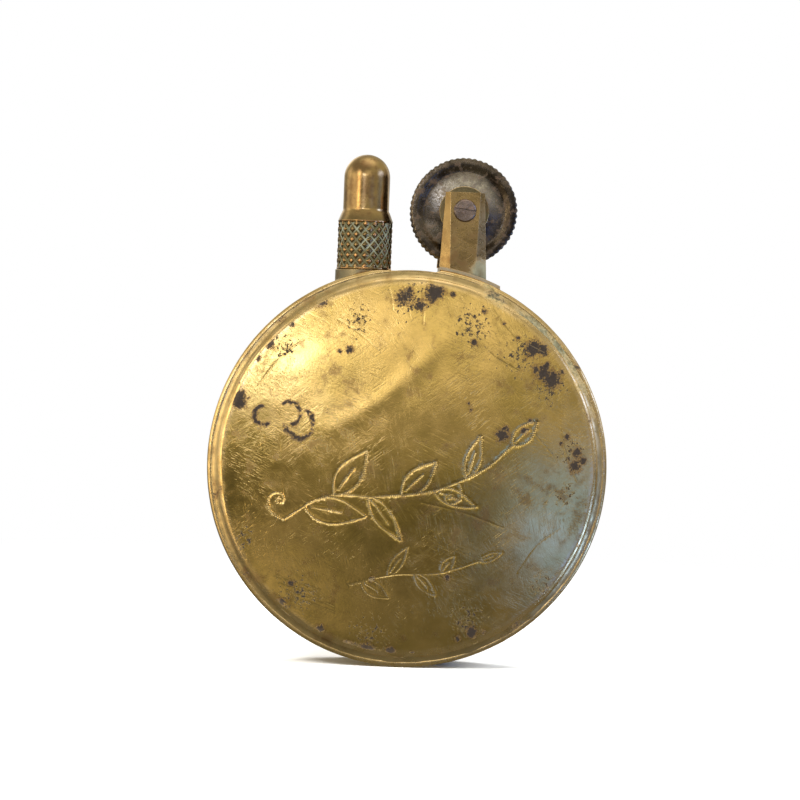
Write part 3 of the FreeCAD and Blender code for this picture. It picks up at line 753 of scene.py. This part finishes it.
def ornament():
    """Every engraved stroke of the front cover: a large spray, its curls and a small sprig."""
    main = spray([(-14.6, -6.6), (-9.5, -3.6), (-3.0, -3.4), (3.5, -2.4), (9.0, 0.2), (12.4, 3.2)],
                 6, 7.4)
    main.append(curl((-14.6, -6.6), math.radians(165), 1.9, -1))
    main.append(curl((6.0, -1.4), math.radians(-58), 1.6, -1))
    small = spray([(-6.5, -14.2), (-1.5, -12.8), (4.0, -12.4), (9.0, -10.8)], 4, 4.2)
    return [wriggled(s, WRIGGLE) for s in main], [wriggled(s, 0.7 * WRIGGLE) for s in small]


# Single scratches of the front cover, from one place to the other, most of them slightly bowed.
SCRATCHES = [
    ((1.8, -4.0), (11.6, -6.7), 0.3), ((-1.2, 21.6), (-0.4, 17.9), 0.1),
    ((0.9, 21.9), (1.2, 17.2), 0.1), ((-3.0, 21.3), (-2.5, 18.8), 0.1),
    ((9.6, 19.4), (15.8, 14.4), -0.8), ((6.8, 17.0), (12.9, 12.0), -0.7),
    ((17.6, 8.6), (20.4, -1.0), -0.6), ((12.3, 9.7), (17.2, 2.2), -0.6),
    ((13.5, -12.0), (18.5, -6.5), 0.6), ((-15.2, -13.4), (-9.8, -15.0), 0.1),
    ((-14.8, -14.2), (-9.0, -15.9), 0.1), ((-13.9, -15.1), (-8.2, -16.8), 0.1),
    ((-12.8, -16.1), (-8.0, -17.6), 0.1), ((-18.2, 9.2), (-13.0, 14.9), 0.4),
    ((-9.0, 17.4), (-3.8, 13.6), 0.3),
]


def scratch_strokes():
    """The single scratches as fine curves."""
    curves = []
    for (x0, z0), (x1, z1), bow in SCRATCHES:
        start, end = Vector((x0, z0)), Vector((x1, z1))
        side = Vector((z0 - z1, x1 - x0)).normalized()
        curves.append(curve_through([start, (start + end) / 2 + side * bow, end], 0.06))
    return curves


class Grooves:
    """A set of cut lines: their places, half width, depth in millimetres and brightness."""

    def __init__(self, strokes, half, deep, bright, offsets, gap):
        self.strokes, self.half, self.deep, self.bright = strokes, half, deep, bright
        self.offsets, self.gap = offsets, gap
        self.tree = kdtree.KDTree(sum(len(stroke) for stroke in strokes))
        for index, point in enumerate(point for stroke in strokes for point in stroke):
            self.tree.insert((point.x, point.y, 0), index)
        self.tree.balance()

    def away(self, x, z):
        return self.tree.find((x, z, 0))[2]


def cover_points(grooves, spacing):
    """Flat points that carry a cover's relief: an even scatter, closer along the cut lines."""
    kept, cells = [], set()
    for group in grooves:
        for stroke in group.strokes:
            for before, after in zip(stroke, stroke[1:]):
                side = Vector((before.y - after.y, after.x - before.x))
                side = side.normalized() if side.length else side
                for off in group.offsets:
                    x, y = before.x + side.x * off, before.y + side.y * off
                    cell = (round(x / group.gap), round(y / group.gap))
                    if cell not in cells and math.hypot(x, y) < RIM - 0.12:
                        cells.add(cell)
                        kept.append((x, y))
    rings = int(RIM / spacing)
    for ring in range(rings):
        radius = RIM * (ring + 0.5) / rings
        count = max(6, int(2 * math.pi * radius / spacing))
        for i in range(count):
            angle = 2 * math.pi * (i + 0.5 * (ring % 2)) / count
            x, y = radius * math.cos(angle), radius * math.sin(angle)
            if all(group.away(x, y) > group.half + 0.08 for group in grooves):
                kept.append((x, y))
    return kept


def seam_grime(x, z):
    """Verdigris in the groove: most at the upper right, some at the foot, little elsewhere."""
    turn = math.degrees(math.atan2(x, z))
    upper_right = smooth_step(8, 25, turn) * smooth_step(88, 62, turn)
    foot = smooth_step(165, 176, abs(turn)) if turn < 0 else smooth_step(172, 178, turn)
    return 0.70 * upper_right + 0.45 * foot - 0.05


# Rings of points from a cover's dome to the end of its turned-down shoulder.
RIM_STEPS = 9


def make_cover(name, side, grooves, relief, stain_map, spacing):
    """A dished cover as one closed shell. side is -1 at the front and 1 at the back."""
    count = 320
    rim = [(RIM * math.cos(2 * math.pi * i / count), RIM * math.sin(2 * math.pi * i / count))
           for i in range(count)]
    flat = [Vector(place) for place in rim + cover_points(grooves, spacing)]
    found = geometry.delaunay_2d_cdt(flat, [], [], 0, 1e-6)
    faces = list(found[2])
    rim_index = {original: index for index, originals in enumerate(found[3])
                 for original in originals if original < count}

    points, cut, stain, green, specks, edges = [], [], [], [], [], []
    for x, z in found[0]:
        radius = math.hypot(x, z)
        edge = smooth_step(RIM - 0.2, RIM - 2.0, radius)
        # share becomes the field cut: fresh-cut brass, and where it is high the material paints
        # shade and dirt in the groove.
        share, deep = 0.0, 0.0
        for group in grooves:
            near = max(0.0, 1 - group.away(x, z) / group.half)
            near *= 0.8 + 0.5 * ripple(x, 6, z, 2.0)
            deep = max(deep, group.deep * near)
            share = max(share, group.bright * near)
        points.append((x, side * (dome(min(radius, RIM)) + edge * relief(x, z) - deep), z))
        cut.append(share)
        stain.append(stain_map(x, z))
        specks.append(specks_at(side * -x, z) * (1.0 if side < 0 else 0.7))
        # The field edge at the rim: rubbed brass lightened by a painted highlight.
        edges.append(0.5 * smooth_step(RIM - 0.5, RIM, radius))
        green.append(smooth_step(RIM - 0.8, RIM, radius) * seam_grime(x, z)
                     * (0.7 + ripple(x, 7, z, 5.0)))

    turned = (COVER_RADIUS - SHOULDER, SHOULDER_CENTRE)
    top = 90 - math.degrees(EDGE_SLOPE)
    rings = arc(turned, SHOULDER, top, 0, RIM_STEPS - 1)[1:]
    rings += [(COVER_RADIUS, SKIRT_END), (COVER_RADIUS - SHEET, SKIRT_END)]
    rings += arc(turned, SHOULDER - SHEET, 0, top, 3)
    rings += [(r, dome(r) - SHEET) for r in np.linspace(rings[-1][0], 0, 14)[1:-1]]
    previous = [rim_index[i] for i in range(count)]
    for step, (radius, out) in enumerate(rings):
        outside = step < RIM_STEPS
        start = len(points)
        for i in range(count):
            angle = 2 * math.pi * i / count
            x, z = radius * math.cos(angle), radius * math.sin(angle)
            worn = 0.035 * ripple(x, 0, z, 4.0, 3.3) if outside else 0.0
            points.append((x, side * (out + worn), z))
            cut.append(0.0)
            specks.append(0.0)
            # The shoulder's outside takes the field edge: rubbed brass lightened by a painted
            # highlight.
            edges.append(0.8 if outside else 0.0)
            stain.append(0.45 * smooth_step(0.05, 0.5, ripple(x, out, z, 2.2, 8.0)))
            green.append(seam_grime(x, z) * (0.6 + 0.5 * step / RIM_STEPS if outside else 0.5)
                         + 0.30 * ripple(x, out, z, 4.0, 12.0))
        faces += ring_faces_between(previous, range(start, start + count))
        previous = range(start, start + count)
    points.append((0, side * (dome(0) - SHEET), 0))
    for field in (cut, stain, green, specks, edges):
        field.append(0.0)
    faces += [(previous[i], previous[(i + 1) % count], len(points) - 1) for i in range(count)]
    return make_object(name, points, faces, {"cut": cut, "stain": stain, "green": green,
                                             "specks": specks, "edge": edges})


def front_relief(x, z):
    return bumps(FRONT_DENTS, x, z) + crease_rise(x, z) + hammered(x, z, 0.0)


def rear_relief(x, z):
    """The back: dents and beating outside the flat land that has worn on its middle."""
    radius = math.hypot(x, z)
    raised = dome(min(radius, RIM)) + bumps(REAR_DENTS, x, z) + hammered(x, z, 40.0)
    soft = 0.03
    over = raised - LAND
    flattened = LAND + soft * (1 - math.exp(-max(over, 0) / soft)) * 0.3 if over > 0 else raised
    return flattened - dome(min(radius, RIM)) + 0.002 * ripple(x, 0, z, 1.1)


def rear_stain(x, z):
    """The back's stains: a few ragged patches and tide marks."""
    patch = smooth_step(0.25, 0.55, ripple(x, 9, z, 7.0))
    tide = patch * (0.66 - 3.2 * abs(ripple(x, 5, z, 5.0)))
    return max(0.0, tide, 0.75 * smooth_step(0.55, 0.8, ripple(x, 2, z, 2.0, 4.0)))


main_strokes, small_strokes = ornament()
cuts = [
    Grooves(main_strokes, ENGRAVED_HALF, ENGRAVED_DEEP, 0.85, (0, -0.06, 0.06, -0.13, 0.13), 0.06),
    Grooves(small_strokes, 0.10, 0.045, 0.7, (0, -0.06, 0.06, -0.12, 0.12), 0.06),
    Grooves(scratch_strokes(), 0.055, 0.015, 0.42, (0, -0.06, 0.06), 0.06),
]
front = make_cover("front_cover_engraved", -1, cuts, front_relief, stain_at, 0.30)
dress(front, "case", "case", "case_brass", "front_cover")
rear = make_cover("rear_cover_worn", 1, [], rear_relief, rear_stain, 0.36)
dress(rear, "case", "case", "case_brass", "rear_cover")


# ------------------------------------------------------------------ band and seams

def around_y(radius, along, angle):
    return (radius * math.sin(angle), along, radius * math.cos(angle))


def make_band():
    """The hoop: rounded edges, slightly wavy, filed flat at its crown, pierced at its foot."""
    inner, half, soft = CASE_RADIUS - BAND_WALL, BAND_HALF, BAND_ROUND
    profile = arc((inner + soft, -half + soft), soft, 180, 270, 5)
    profile += arc((CASE_RADIUS - soft, -half + soft), soft, 270, 360, 5)
    profile += line((CASE_RADIUS, -half + soft), (CASE_RADIUS, half - soft), 22)[1:]
    profile += arc((CASE_RADIUS - soft, half - soft), soft, 0, 90, 5)
    profile += arc((inner + soft, half - soft), soft, 90, 180, 5)

    def place(radius, along, angle):
        x, y, z = around_y(radius, along, angle)
        wave = 0.03 * ripple(x, y, z, 7.0, 2.0) + 0.008 * ripple(x, y, z, 1.6, 4.0)
        reach = 1 + (wave / radius if radius > inner + 0.2 else 0)
        x, z = x * reach, z * reach
        if z > CROWN and CROWN_FROM < x < CROWN_TO:
            z = CROWN + 0.02 * ripple(x, y, z, 1.5)
        edge = math.copysign(0.03 * ripple(x, 0, z, 5.0, 9.0), y) if abs(y) > half - 1 else 0.0
        return (x, y + edge, z)

    points, faces = lathe(profile, 540, place, closed=True)
    stain, green, edges = [], [], []
    for x, y, z in points:
        # The field edge on the rounded edges: rubbed brass lightened by a painted highlight.
        edges.append(0.8 * smooth_step(half - 0.5, half - 0.1, abs(y)))
        stain.append(0.62 * smooth_step(0.30, 0.62, ripple(x, y, z, 4.5, 6.0)))
        near_edge = smooth_step(half - 1.0, half - 0.2, abs(y))
        near_fork = smooth_step(4.2, 2.6, abs(x - WHEEL_X - 0.8)) * smooth_step(20.5, 22.0, z)
        near_cap = smooth_step(4.4, 3.5, math.hypot(x - CAP_X, y))
        near_cap *= smooth_step(CASE_RADIUS - 3.0, CASE_RADIUS - 2.0, z)
        green.append(0.5 * near_edge * seam_grime(x, z) + 0.30 * near_fork + 0.35 * near_cap
                     + 0.22 * ripple(x, y, z, 3.5, 1.0))
    band = make_object("case_band_beaten", points, faces,
                       {"stain": stain, "green": green, "edge": edges})
    return bored(band, [(WHEEL_X, TUBE_RADIUS, -CASE_RADIUS - 2, -CASE_RADIUS + 2)])


def make_seam(name, side):
    """The solder in the groove between the band and a cover, wiped to a hollow fillet."""
    low, high = COVER_RADIUS + 0.005, CASE_RADIUS - BAND_WALL
    profile = [(low, 3.65), (high, 3.65), (high + 0.20, 4.20), (high + 0.52, 4.43),
               (high + 0.42, 4.475), (high + 0.30, 4.51), (high + 0.16, 4.545), (high, 4.60),
               (high - 0.14, 4.68),
               (high - 0.28, 4.79), (high - 0.40, 4.90), (high - 0.50, 4.985)]

    def place(radius, along, angle):
        x, y, z = around_y(radius, along, angle)
        lumps = 0.030 * ripple(x, y, z, 1.3, 7.0) + 0.012 * ripple(x, y, z, 0.5, 3.0)
        return (x, side * (y + (lumps if along > 4.3 else 0.0)), z)

    points, faces = lathe(profile, 720, place, closed=True)
    green = [seam_grime(x, z) + 0.25 * ripple(x, y, z, 3.0, 20.0) for x, y, z in points]
    stain = [0.45 * smooth_step(0.15, 0.6, ripple(x, y, z, 3.5, 60.0)) for x, y, z in points]
    return make_object(name, points, faces, {"green": green, "stain": stain})


dress(make_band(), "case", "case", "case_brass", "case_band")
dress(make_seam("front_seam_grimy", -1), "solder", "case", "solder", "front_solder_seam")
dress(make_seam("rear_seam_grimy", 1), "solder", "case", "solder", "rear_solder_seam")


# ------------------------------------------------------------------ snuffer cap

KNURLS = 18
KNURL_RISE = 1.26
KNURL_DEEP = 0.22


def knurl_height(angle, z):
    """Height of the crossed knurling: 0 in a groove and 1 on a point."""
    first = angle * KNURLS / (2 * math.pi) + z / KNURL_RISE
    second = angle * KNURLS / (2 * math.pi) - z / KNURL_RISE
    return min(1 - abs(2 * (turn % 1.0) - 1) for turn in (first, second))


def make_cap():
    """Knurled skirt, chamfer, plain barrel and round nose, hollow inside."""
    foot, top = CAP_LOW.z, CAP_HIGH.z
    knurl_low, knurl_high = foot + 0.15, CAP_SKIRT_TOP - 0.05
    rows = 104
    outer = [(CAP_SKIRT - 0.12, foot), (CAP_SKIRT, foot + 0.06)]
    outer += [(CAP_SKIRT,
               knurl_low + (knurl_high - knurl_low) * i / rows) for i in range(rows + 1)]
    outer += line((CAP_SKIRT - 0.03, CAP_SKIRT_TOP + 0.02), (CAP_BARREL + 0.05, CAP_BARREL_FOOT),
                  7)
    outer += line((CAP_BARREL, CAP_BARREL_FOOT + 0.05), (CAP_BARREL, top - CAP_BARREL), 18)
    outer += [(r, z) for r, z in arc((0, top - CAP_BARREL), CAP_BARREL, 0, 88, 22)]
    outer += [(0.0, top)]
    inner = [(0.0, 33.7), (CAP_BORE * 0.6, 33.4), (CAP_BORE, 32.8), (CAP_BORE, foot + 0.1),
             (CAP_BORE + 0.08, foot)]
    knurl, skirt = [], []

    def place(radius, along, angle):
        on_skirt = knurl_low <= along <= knurl_high and radius > CAP_SKIRT - 0.01
        tall = 1.0
        if on_skirt:
            fade = smooth_step(knurl_low, knurl_low + 0.25, along)
            fade *= smooth_step(knurl_high + 0.02, knurl_high - 0.3, along)
            tall = min(0.72, knurl_height(angle, along)) / 0.72
            worn = 0.93 + 0.07 * ripple(3 * math.cos(angle), 3 * math.sin(angle), along, 2.0)
            radius -= KNURL_DEEP * (1 - tall * worn) * fade
            tall = 1 - (1 - tall * worn) * fade
        elif radius > CAP_BORE + 0.2:
            radius += 0.012 * ripple(3 * math.cos(angle), 3 * math.sin(angle), along, 2.5, 6.0)
        if radius > 1e-9:
            knurl.append(tall if on_skirt else 0.5)
            skirt.append(1.0 if on_skirt else smooth_step(CAP_BARREL_FOOT - 0.1, CAP_SKIRT_TOP,
                                                          along) * 0.7 * (radius > CAP_BORE + 0.2))
        else:
            knurl.append(1.0)
            skirt.append(0.0)
        return (CAP_X + radius * math.cos(angle), radius * math.sin(angle), along)

    points, faces = lathe(outer + inner, 16 * KNURLS, place, closed=True)
    return make_object("snuffer_cap_knurled", points, faces, {"knurl": knurl, "skirt": skirt})


dress(make_cap(), "cap", "cap", "cap_brass", "snuffer_cap")


# ------------------------------------------------------------------ wheel

def make_disc(name, side):
    """A thumb disc: V teeth round the rim and a turned hollow round the hub's seat."""
    face = [(DISC_BORE, SEAT_OUT), (SEAT_RADIUS - 0.04, SEAT_OUT),
            (SEAT_RADIUS + 0.04, SEAT_OUT - 0.02)]
    slope = [(SEAT_RADIUS + 0.1 + (HOLLOW_RADIUS - SEAT_RADIUS - 0.1) * t,
              SEAT_OUT - 0.03 - (SEAT_OUT - 0.03 - HOLLOW_OUT) * t ** 0.9)
             for t in np.linspace(0, 1, 8)]
    rise = [(HOLLOW_RADIUS + (LAND_RADIUS - HOLLOW_RADIUS) * t,
             HOLLOW_OUT + (DISC_OUT - HOLLOW_OUT) * (3 * t * t - 2 * t ** 3))
            for t in np.linspace(0.12, 1, 7)]
    face += slope + rise
    tooth_from = len(face)
    face += [(DISC_RADIUS - 0.30, DISC_OUT - 0.01), (DISC_RADIUS - 0.10, DISC_OUT - 0.05),
             (DISC_RADIUS, DISC_OUT - 0.15), (DISC_RADIUS, DISC_IN + 0.10),
             (DISC_RADIUS - 0.08, DISC_IN)]
    tooth_to = len(face)
    face += [(DISC_RADIUS - 0.5, DISC_IN), (DISC_BORE, DISC_IN)]
    toothed = set(face[tooth_from + 1:tooth_to])
    worn = []

    def place(radius, along, angle):
        share = abs(2 * (angle * DISC_TEETH / (2 * math.pi) % 1.0) - 1)
        x, z = radius * math.cos(angle), radius * math.sin(angle)
        outside = along > DISC_IN + 0.3
        lift = 0.035 * ripple(x, side, z, 2.4, 8.0) + 0.012 * ripple(x, side, z, 0.9, 3.0)
        on_tooth = (radius, along) in toothed
        if on_tooth:
            rubbed = 0.55 + 0.45 * smooth_step(-0.35, 0.35, ripple(x, side, z, 5.0, 2.0))
            cut = 0.14 * rubbed * smooth_step(0.15, 1.0, share) + 0.04 * max(
                0.0, ripple(x, side, z, 1.3, 5.0))
            x, z = x * (1 - cut / radius), z * (1 - cut / radius)
        # The field worn: rubbed patches and tooth tips, and a painted highlight on the upper side
        # near the hub.
        patch = smooth_step(-0.15, 0.45, ripple(x, side, z, 2.6, 15.0))
        painted_highlight_above_hub = smooth_step(5.0, 3.4, radius) * smooth_step(-0.1, 0.9, math.sin(angle) + 0.25)
        rim = 0.30 * (1 - share) if on_tooth else 0.0
        worn.append(max(0.85 * painted_highlight_above_hub, 0.35 * patch * smooth_step(5.6, 4.4, radius), rim)
                    if outside or on_tooth else 0.0)
        return (WHEEL_X + x, side * (along + (lift if outside else 0.0)), WHEEL_Z + z)

    points, faces = lathe(face, 12 * DISC_TEETH, place, closed=True)
    return make_object(name, points, faces, {"worn": worn})


dress(make_disc("front_thumb_disc_worn", -1), "disc", "wheel", "disc_steel", "front_thumb_disc")
dress(make_disc("rear_thumb_disc_worn", 1), "disc", "wheel", "disc_steel", "rear_thumb_disc")
redress("striker_wheel", "striker")
worn_copy("wheel_hub", "fitting", "wheel", "fitting_brass", 0.06)
worn_copy("axle_screw", "screw", "case", "screw_steel", 0.06)
worn_copy("wheel_fork", "fork", "case", "fork_brass", 0.15)
worn_copy("fork_foot_plate", "plate", "case", "fork_brass", 0.05)


# ------------------------------------------------------------------ burner, wadding, flint feed

def make_wick():
    """A plaited wick whose tip is charred and frayed."""
    low, high = WICK_LOW.z, WICK_HIGH.z
    radius = (WICK_HIGH.x - WICK_LOW.x) / 2
    rows = 200
    profile = [(0.0, low)] + [(radius,
                               low + (high - low - 0.1) * i / rows) for i in range(rows + 1)]
    profile += [(radius * 0.72, high - 0.02), (0.0, high)]
    char = []

    def place(across, along, angle):
        first = math.sin(8 * angle + along * 4.2)
        second = math.sin(8 * angle - along * 4.2)
        woven = 0.09 * max(first, second) if across > 0.8 * radius else 0.0
        frayed = 0.25 * ripple(math.cos(angle), math.sin(angle), along, 0.5)
        frayed *= smooth_step(high - 1.6, high, along)
        reach = max(0.0, across - 0.09 + woven + frayed) if across > 0 else 0.0
        char.append(smooth_step(high - 2.4, high - 0.6, along))
        return (CAP_X + reach * math.cos(angle), reach * math.sin(angle), along)

    points, faces = lathe(profile, 96, place)
    return make_object("wick_plaited", points, faces, {"char": char})


def make_wadding():
    """Loosely packed cotton wool round the flint tube, the wick and the burner."""
    low, high = corners("cotton_wadding")
    flat = high.x - 1.6
    profile = [(0.0, -high.y)] + [(flat * t, -high.y) for t in (0.2, 0.4, 0.6, 0.8, 1.0)]
    profile += arc((flat, 0), high.y * 0.999, -90, 90, 10)[1:-1]
    profile = [(min(r, high.x), y) for r, y in profile]
    profile += [(flat * t, high.y) for t in (1.0, 0.8, 0.6, 0.4, 0.2)] + [(0.0, high.y)]

    def place(radius, along, angle):
        x, y, z = around_y(radius, along, angle)
        tuft = 1 - 0.05 * abs(ripple(x, y, z, 3.0, 2.0)) - 0.02 * abs(ripple(x, y, z, 0.9, 4.0))
        return (x * tuft, y * tuft, z * tuft)

    points, faces = lathe(profile, 160, place)
    wadding = make_object("cotton_wadding_tufted", points, faces)
    ease, top = 0.05, CASE_RADIUS + 2
    return bored(wadding, [
        (WHEEL_X, TUBE_RADIUS + ease, -top, top),
        (CAP_X, (WICK_HIGH.x - WICK_LOW.x) / 2 + ease, WICK_LOW.z - ease, top),
        (CAP_X, (TUBE_HIGH.x - TUBE_LOW.x) / 2 + ease, TUBE_LOW.z - ease, top),
        (CAP_X, (COLLAR_HIGH.x - COLLAR_LOW.x) / 2 + ease, COLLAR_LOW.z - ease, top),
    ])


dress(make_wick(), "wick", "case", "wick_cotton", "wick")
dress(make_wadding(), "wadding", "case", "wadding_cotton", "cotton_wadding")
worn_copy("burner_collar", "collar", "case", "fitting_brass", 0.06)
redress("wick_tube", "fitting", bevel=0.05)
redress("flint_tube", "fitting")
redress("flint", "flint")
redress("flint_plunger", "fitting")
coil = worn_copy("flint_spring", "spring", "spring", "spring_steel", 0.0)
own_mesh(coil)
redress("flint_screw", "fitting", bevel=0.04)


# ------------------------------------------------------------------ floor, light, camera

def make_floor():
    """A pale floor that fades to plain white away from the lighter."""
    material, graph = new_material("pale_floor")
    at = graph.add("ShaderNodeTexCoord", output=3)
    away = graph.add("ShaderNodeVectorMath", output=1, settings={"operation": "LENGTH"}, i0=at)
    paper = graph.add("ShaderNodeBsdfDiffuse", Color=(0.93, 0.93, 0.93))
    glow = graph.add("ShaderNodeEmission", Color=(1.0, 1.0, 1.0), Strength=1.0)
    mixed = graph.add("ShaderNodeMixShader", i0=graph.ease(away, 0.03, 0.16), i1=paper, i2=glow)
    graph.add("ShaderNodeOutputMaterial", Surface=mixed)
    points = [(1400 * math.cos(a), 1400 * math.sin(a), 0)
              for a in np.linspace(0, 2 * math.pi, 96, endpoint=False)]
    floor = make_object("floor", points, [tuple(range(96))])
    floor.location.z = BAND_LOW.z * MM - 0.0001
    floor.data.materials.append(material)
    floor.visible_glossy = False


def make_backdrop():
    """A white dome far away, seen only by the camera."""
    material, graph = new_material("white_backdrop")
    glow = graph.add("ShaderNodeEmission", Color=(1.0, 1.0, 1.0), Strength=1.0)
    graph.add("ShaderNodeOutputMaterial", Surface=glow)
    points, faces = lathe([(0.0, -1500.0)] + [(1500 * math.cos(t), 1500 * math.sin(t))
                          for t in np.linspace(-1.4, 1.4, 12)] + [(0.0, 1500.0)], 48,
                          lambda r, h, a: (r * math.cos(a), r * math.sin(a), h))
    backdrop = make_object("backdrop", points, faces)
    backdrop.data.materials.append(material)
    for ray in ("diffuse", "glossy", "transmission", "shadow", "volume_scatter"):
        setattr(backdrop, "visible_" + ray, False)


# Soft patches of the studio: direction, reach across / along / up, colour, how much of the light
# behind it each patch hides, and the share of its reach that is even.
WORLD_PATCHES = [
    ((0.92, -0.38, -0.02), (0.22, 0.5, 0.18), (0.02, 0.05, 0.14), 0.90, 0.15),
    ((-0.33, -0.94, -0.10), (0.16, 0.5, 0.13), (0.00, 0.00, 0.00), 0.45, 0.15),
    ((0.06, -0.97, -0.22), (0.16, 0.5, 0.13), (0.00, 0.00, 0.00), 0.25, 0.15),
    ((-0.25, -0.94, 0.21), (0.26, 0.8, 0.19), (1.15, 1.15, 1.20), 0.0, 0.30),
    ((-0.29, -0.93, 0.19), (0.15, 0.5, 0.12), (2.40, 2.90, 5.00), 0.0, 0.20),
    ((-0.17, -0.98, 0.12), (0.15, 0.5, 0.085), (0.42, 0.42, 0.48), 0.0, 0.40),
    ((-0.66, -0.75, 0.00), (0.14, 0.4, 0.60), (2.80, 2.30, 1.50), 0.0, 0.15),
    ((0.05, -0.96, 0.25), (0.38, 0.8, 0.15), (0.62, 0.60, 0.56), 0.0, 0.45),
    ((0.05, -0.90, 0.45), (0.40, 0.8, 0.20), (0.30, 0.30, 0.28), 0.0, 0.30),
    ((-0.66, -0.72, 0.36), (0.20, 0.4, 0.36), (2.30, 2.15, 1.80), 0.0, 0.15),
    ((-0.92, -0.38, 0.00), (0.50, 0.6, 0.60), (0.85, 0.76, 0.62), 0.0, 0.15),
    ((0.90, -0.28, 0.32), (0.20, 0.4, 0.24), (1.50, 2.30, 5.50), 0.0, 0.15),
    ((0.85, -0.38, -0.36), (0.22, 0.4, 0.20), (1.90, 3.60, 9.00), 0.0, 0.15),
    ((0.42, -0.89, -0.17), (0.24, 0.5, 0.23), (0.24, 0.54, 1.95), 0.28, 0.15),
    ((-0.28, -0.90, -0.34), (0.26, 0.5, 0.17), (0.34, 0.31, 0.24), 0.0, 0.15),
    ((0.10, -0.10, 1.00), (0.70, 0.7, 0.50), (0.90, 0.88, 0.84), 0.0, 0.15),
    ((-0.95, 0.25, 0.25), (0.40, 0.4, 0.50), (0.80, 0.76, 0.68), 0.0, 0.15),
    ((-0.30, 0.95, 0.35), (0.50, 0.6, 0.40), (0.95, 0.93, 0.88), 0.0, 0.15),
    ((0.60, 0.80, 0.10), (0.30, 0.4, 0.50), (0.50, 0.55, 0.60), 0.0, 0.15),
]


def make_world():
    """A soft studio all round: dim and warm, with broad brighter patches and a dark one."""
    world = bpy.data.worlds.new("studio")
    bpy.context.scene.world = world
    world.use_nodes = True
    graph = Graph(world.node_tree)
    way = graph.add("ShaderNodeTexCoord", output=0)
    height = graph.add("ShaderNodeSeparateXYZ", output=2, i0=way)
    level = graph.ease(height, -0.25, 0.25, 0.16, 0.44)
    light = graph.blend(level, (0.0, 0.0, 0.0), (1.0, 0.98, 0.82))
    for towards, reach, colour, hides, even in WORLD_PATCHES:
        away = graph.away(way, tuple(Vector(towards).normalized()), reach)
        share = graph.ease(away, even, 1.0, 1.0, 0.0)
        light = graph.blend(graph.times(share, hides), light, (0.0, 0.0, 0.0))
        light = graph.add("ShaderNodeVectorMath", settings={"operation": "MULTIPLY_ADD"},
                          i0=graph.add("ShaderNodeCombineXYZ", i0=share, i1=share, i2=share),
                          i1=colour, i2=light)
    back = graph.add("ShaderNodeBackground", Color=light, Strength=1.0)
    graph.add("ShaderNodeOutputWorld", Surface=back)


def area_light(name, place, size, power, colour=(1.0, 1.0, 1.0), glossy=True):
    """A soft square light at a place in millimetres, aimed at the case."""
    data = bpy.data.lights.new(name, "AREA")
    data.shape, data.size, data.energy, data.color = "SQUARE", size * MM, power, colour
    lamp = bpy.data.objects.new(name, data)
    lamp.location = Vector(place) * MM
    lamp.rotation_euler = (-lamp.location).to_track_quat("-Z", "Y").to_euler()
    lamp.visible_glossy = glossy
    bpy.context.scene.collection.objects.link(lamp)


CAMERA_AIM = (-1.22, -5.0, 8.06)
CAMERA_AZIMUTH = -2.0
CAMERA_ELEVATION = 1.5
CAMERA_AWAY = 292.2
CAMERA_LENS = 110.0
CAMERA_SENSOR = 36.0
LEAN = math.radians(2.2)


def make_camera():
    """The view: square on, from a little above, with the lighter leaning clockwise."""
    data = bpy.data.cameras.new("camera")
    data.lens, data.sensor_width = CAMERA_LENS, CAMERA_SENSOR
    camera = bpy.data.objects.new("camera", data)
    bpy.context.scene.collection.objects.link(camera)
    turn, rise = math.radians(CAMERA_AZIMUTH), math.radians(CAMERA_ELEVATION)
    back = Vector((math.sin(turn) * math.cos(rise), -math.cos(turn) * math.cos(rise),
                   math.sin(rise)))
    up = Vector((-math.sin(LEAN), 0, math.cos(LEAN)))
    right = up.cross(back).normalized()
    up = back.cross(right)
    camera.location = (Vector(CAMERA_AIM) + back * CAMERA_AWAY) * MM
    camera.rotation_mode = "QUATERNION"
    camera.rotation_quaternion = Matrix((right, up, back)).transposed().to_quaternion()
    bpy.context.scene.camera = camera


make_floor()
make_backdrop()
make_world()
area_light("key_left", (-420, -520, 620), 320, 9.0, (1.0, 0.97, 0.92), glossy=False)
area_light("fill_right", (560, -300, 420), 320, 4.5, (0.92, 0.96, 1.0), glossy=False)
area_light("back_top", (0, 520, 520), 320, 5.0, glossy=False)
make_camera()
bpy.context.scene.view_settings.view_transform = "Standard"
